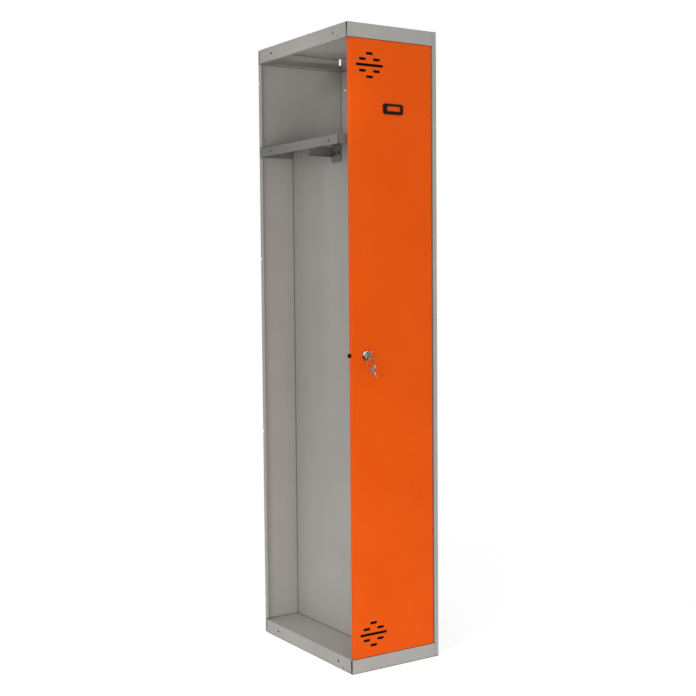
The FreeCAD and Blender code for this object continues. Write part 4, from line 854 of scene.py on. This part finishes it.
def make_key_ring():
    """Split ring: flat wire in two turns that lie on each other, with a jog from one to the other."""
    low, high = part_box("key_ring")
    centre = (low + high) / 2
    half_height = RING_TURN_HEIGHT / 2
    half_depth = RING_TURN_DEPTH / 2
    flat_height = half_height - RING_CORNER
    flat_depth = half_depth - RING_CORNER
    section = [
        (-flat_depth, -half_height), (flat_depth, -half_height), (half_depth, -flat_height),
        (half_depth, flat_height), (flat_depth, half_height), (-flat_depth, half_height),
        (-half_depth, flat_height), (-half_depth, -flat_height),
    ]
    rows = []
    for number in range(2 * RING_STEPS + 1):
        turned_by = 2 * math.pi * number / RING_STEPS
        past = (turned_by - 2 * math.pi) / RING_JOG
        share = max(0.0, min(1.0, past / 2 + 0.5))
        level = RING_TURN_HEIGHT * RING_PITCH_SHARE * (share * share * (3 - 2 * share) - 0.5)
        angle = RING_START + turned_by
        row = []
        for out, up in section:
            radius = RING_RADIUS + out
            row.append(Vector((radius * math.cos(angle), radius * math.sin(angle), level + up)))
        rows.append(row)
    sketch = bmesh.new()
    loft(sketch, rows, Matrix.Translation(centre) @ Matrix.Rotation(math.radians(90), 4, "X"))
    make_piece("key_ring_split", sketch, "key_nickel", "key_ring", ["key_ring"], sharp=50)


make_bolts()
make_rivets()
make_lock_body()
make_key("key_cut", lock_place(), "key", "key")
make_key("spare_key_cut", spare_place(), "spare_key", "spare_key")
make_key_ring()


def make_room_light():
    """White to the camera, even soft light on the paint, a dark room with a pale ceiling in the gloss."""
    world = bpy.data.worlds.new("studio")
    bpy.context.scene.world = world
    world.use_nodes = True
    world.cycles.sampling_method = "NONE"
    wiring = Wiring(world.node_tree)
    out = world.node_tree.nodes["World Output"]
    even = world.node_tree.nodes["Background"]
    even.inputs["Strength"].default_value = ROOM_LIGHT
    even.inputs["Color"].default_value = WHITE
    direction = wiring.add("ShaderNodeTexCoord").outputs["Generated"]
    rise = wiring.add("ShaderNodeSeparateXYZ", {"Vector": direction}).outputs["Z"]
    shine = wiring.span(rise, *CEILING_RISE, ROOM_GLOSS_LOW, ROOM_GLOSS_HIGH)
    reflected = wiring.add("ShaderNodeBackground", {"Color": WHITE, "Strength": shine})
    seen = wiring.add("ShaderNodeBackground", {"Color": WHITE, "Strength": 1.0})
    ray = wiring.add("ShaderNodeLightPath").outputs
    lit_inputs = {0: ray["Is Glossy Ray"], 1: even.outputs[0], 2: reflected.outputs[0]}
    lit = wiring.add("ShaderNodeMixShader", lit_inputs)
    mixed_inputs = {0: ray["Is Camera Ray"], 1: lit.outputs[0], 2: seen.outputs[0]}
    wiring.feed(out, "Surface", wiring.add("ShaderNodeMixShader", mixed_inputs).outputs[0])


def make_floor():
    """Round pale floor that fades out before its rim and glows a little, but not under the carcass."""
    mesh = bpy.data.meshes.new("floor")
    sketch = bmesh.new()
    bmesh.ops.create_circle(sketch, cap_ends=True, radius=FLOOR_REACH, segments=96)
    sketch.to_mesh(mesh)
    sketch.free()
    floor = bpy.data.objects.new("floor", mesh)
    bpy.context.scene.collection.objects.link(floor)
    material, wiring, shader, place = new_material("floor_pale")
    shader.inputs["Base Color"].default_value = FLOOR_PALE
    shader.inputs["Roughness"].default_value = 0.9
    shader.inputs["Specular IOR Level"].default_value = 0.0
    shader.inputs["Emission Strength"].default_value = FLOOR_GLOW
    sides = wiring.add("ShaderNodeSeparateXYZ", {"Vector": place}).outputs
    shares = []
    for axis, half in (("X", CARCASS_WIDTH / 2), ("Y", CARCASS_DEPTH / 2)):
        shares.append(wiring.maths("DIVIDE", wiring.maths("ABSOLUTE", sides[axis]), half))
    outside = wiring.span(wiring.maths("MAXIMUM", shares[0], shares[1]), FLOOR_GLOW_EDGE, 1.0)
    wiring.feed(shader, "Emission Color", wiring.blend(outside, BLACK, WHITE))
    reach = wiring.add("ShaderNodeVectorMath", {0: place}, operation="LENGTH").outputs["Value"]
    wiring.feed(shader, "Alpha", wiring.span(reach, FLOOR_FADE, FLOOR_REACH * FLOOR_RIM_SHARE, 1, 0))
    mesh.materials.append(material)
    floor.visible_glossy = False


def make_softbox(name, place, target, size, power, mirrored=True, spread=180, roll=0):
    """Soft area light that the camera doesn't see, and that shows in the part's gloss only if mirrored."""
    lamp = bpy.data.lights.new(name, "AREA")
    lamp.shape = "RECTANGLE"
    lamp.size, lamp.size_y = size
    lamp.energy = power
    lamp.spread = math.radians(spread)
    softbox = bpy.data.objects.new(name, lamp)
    bpy.context.scene.collection.objects.link(softbox)
    softbox.location = place
    aim = Vector(target) - Vector(place)
    rolled = Quaternion((0, 0, 1), math.radians(roll))
    softbox.rotation_euler = (aim.to_track_quat("-Z", "Y") @ rolled).to_euler()
    softbox.visible_camera = False
    softbox.visible_glossy = mirrored


def make_camera():
    """Camera at the photograph's place, with the photograph's small roll."""
    back = Vector((
        math.sin(CAMERA_AZIMUTH) * math.cos(CAMERA_ELEVATION),
        -math.cos(CAMERA_AZIMUTH) * math.cos(CAMERA_ELEVATION),
        math.sin(CAMERA_ELEVATION),
    ))
    level = (-back).cross(Vector((0, 0, 1))).normalized()
    upright = level.cross(-back)
    right = math.cos(CAMERA_ROLL) * level + math.sin(CAMERA_ROLL) * upright
    up = math.cos(CAMERA_ROLL) * upright - math.sin(CAMERA_ROLL) * level
    lens = bpy.data.cameras.new("photograph")
    lens.sensor_width = SENSOR_WIDTH
    lens.lens = FOCAL_PIXELS / PHOTO_SIDE * SENSOR_WIDTH
    camera = bpy.data.objects.new("photograph", lens)
    bpy.context.scene.collection.objects.link(camera)
    turn = Matrix((right, up, back)).transposed().to_4x4()
    camera.matrix_world = Matrix.Translation(CAMERA_PLACE) @ turn
    bpy.context.scene.camera = camera


make_room_light()
make_floor()
make_softbox("left_softbox", place=(-2.7, -2.1, 1.35), target=(0, 0, 1.0), size=(1.6, 2.4), power=30)
make_softbox(
    "front_softbox", place=(-1.6, -3.9, 0.7), target=(0, -0.25, 0.7), size=(1.8, 1.0), power=47,
    mirrored=False,
)
make_softbox("rim_softbox", place=(-1.9, 2.6, 1.2), target=(0, -0.25, 0.9), size=(0.5, 2.0), power=4.5)
# Narrow beams through the open left side: up into the hat compartment, level into it, down to the bays
make_softbox(
    "shelf_beam", place=(-1.34, -1.13, 0.43), target=(-0.15, -0.06, 1.63), size=(0.28, 0.14), power=0.115,
    mirrored=False, spread=7, roll=28.4,
)
make_softbox(
    "wall_beam", place=(-1.4, -0.96, 1.63), target=(-0.15, 0.035, 1.63), size=(0.1, 0.2), power=0.03,
    mirrored=False, spread=6,
)
make_softbox(
    "floor_beam", place=(-1.5, -0.75, 1.75), target=(-0.03, 0.05, 0.05), size=(0.6, 0.6), power=0.3,
    mirrored=False, spread=18,
)
make_camera()
bpy.context.scene.view_settings.view_transform = "Standard"
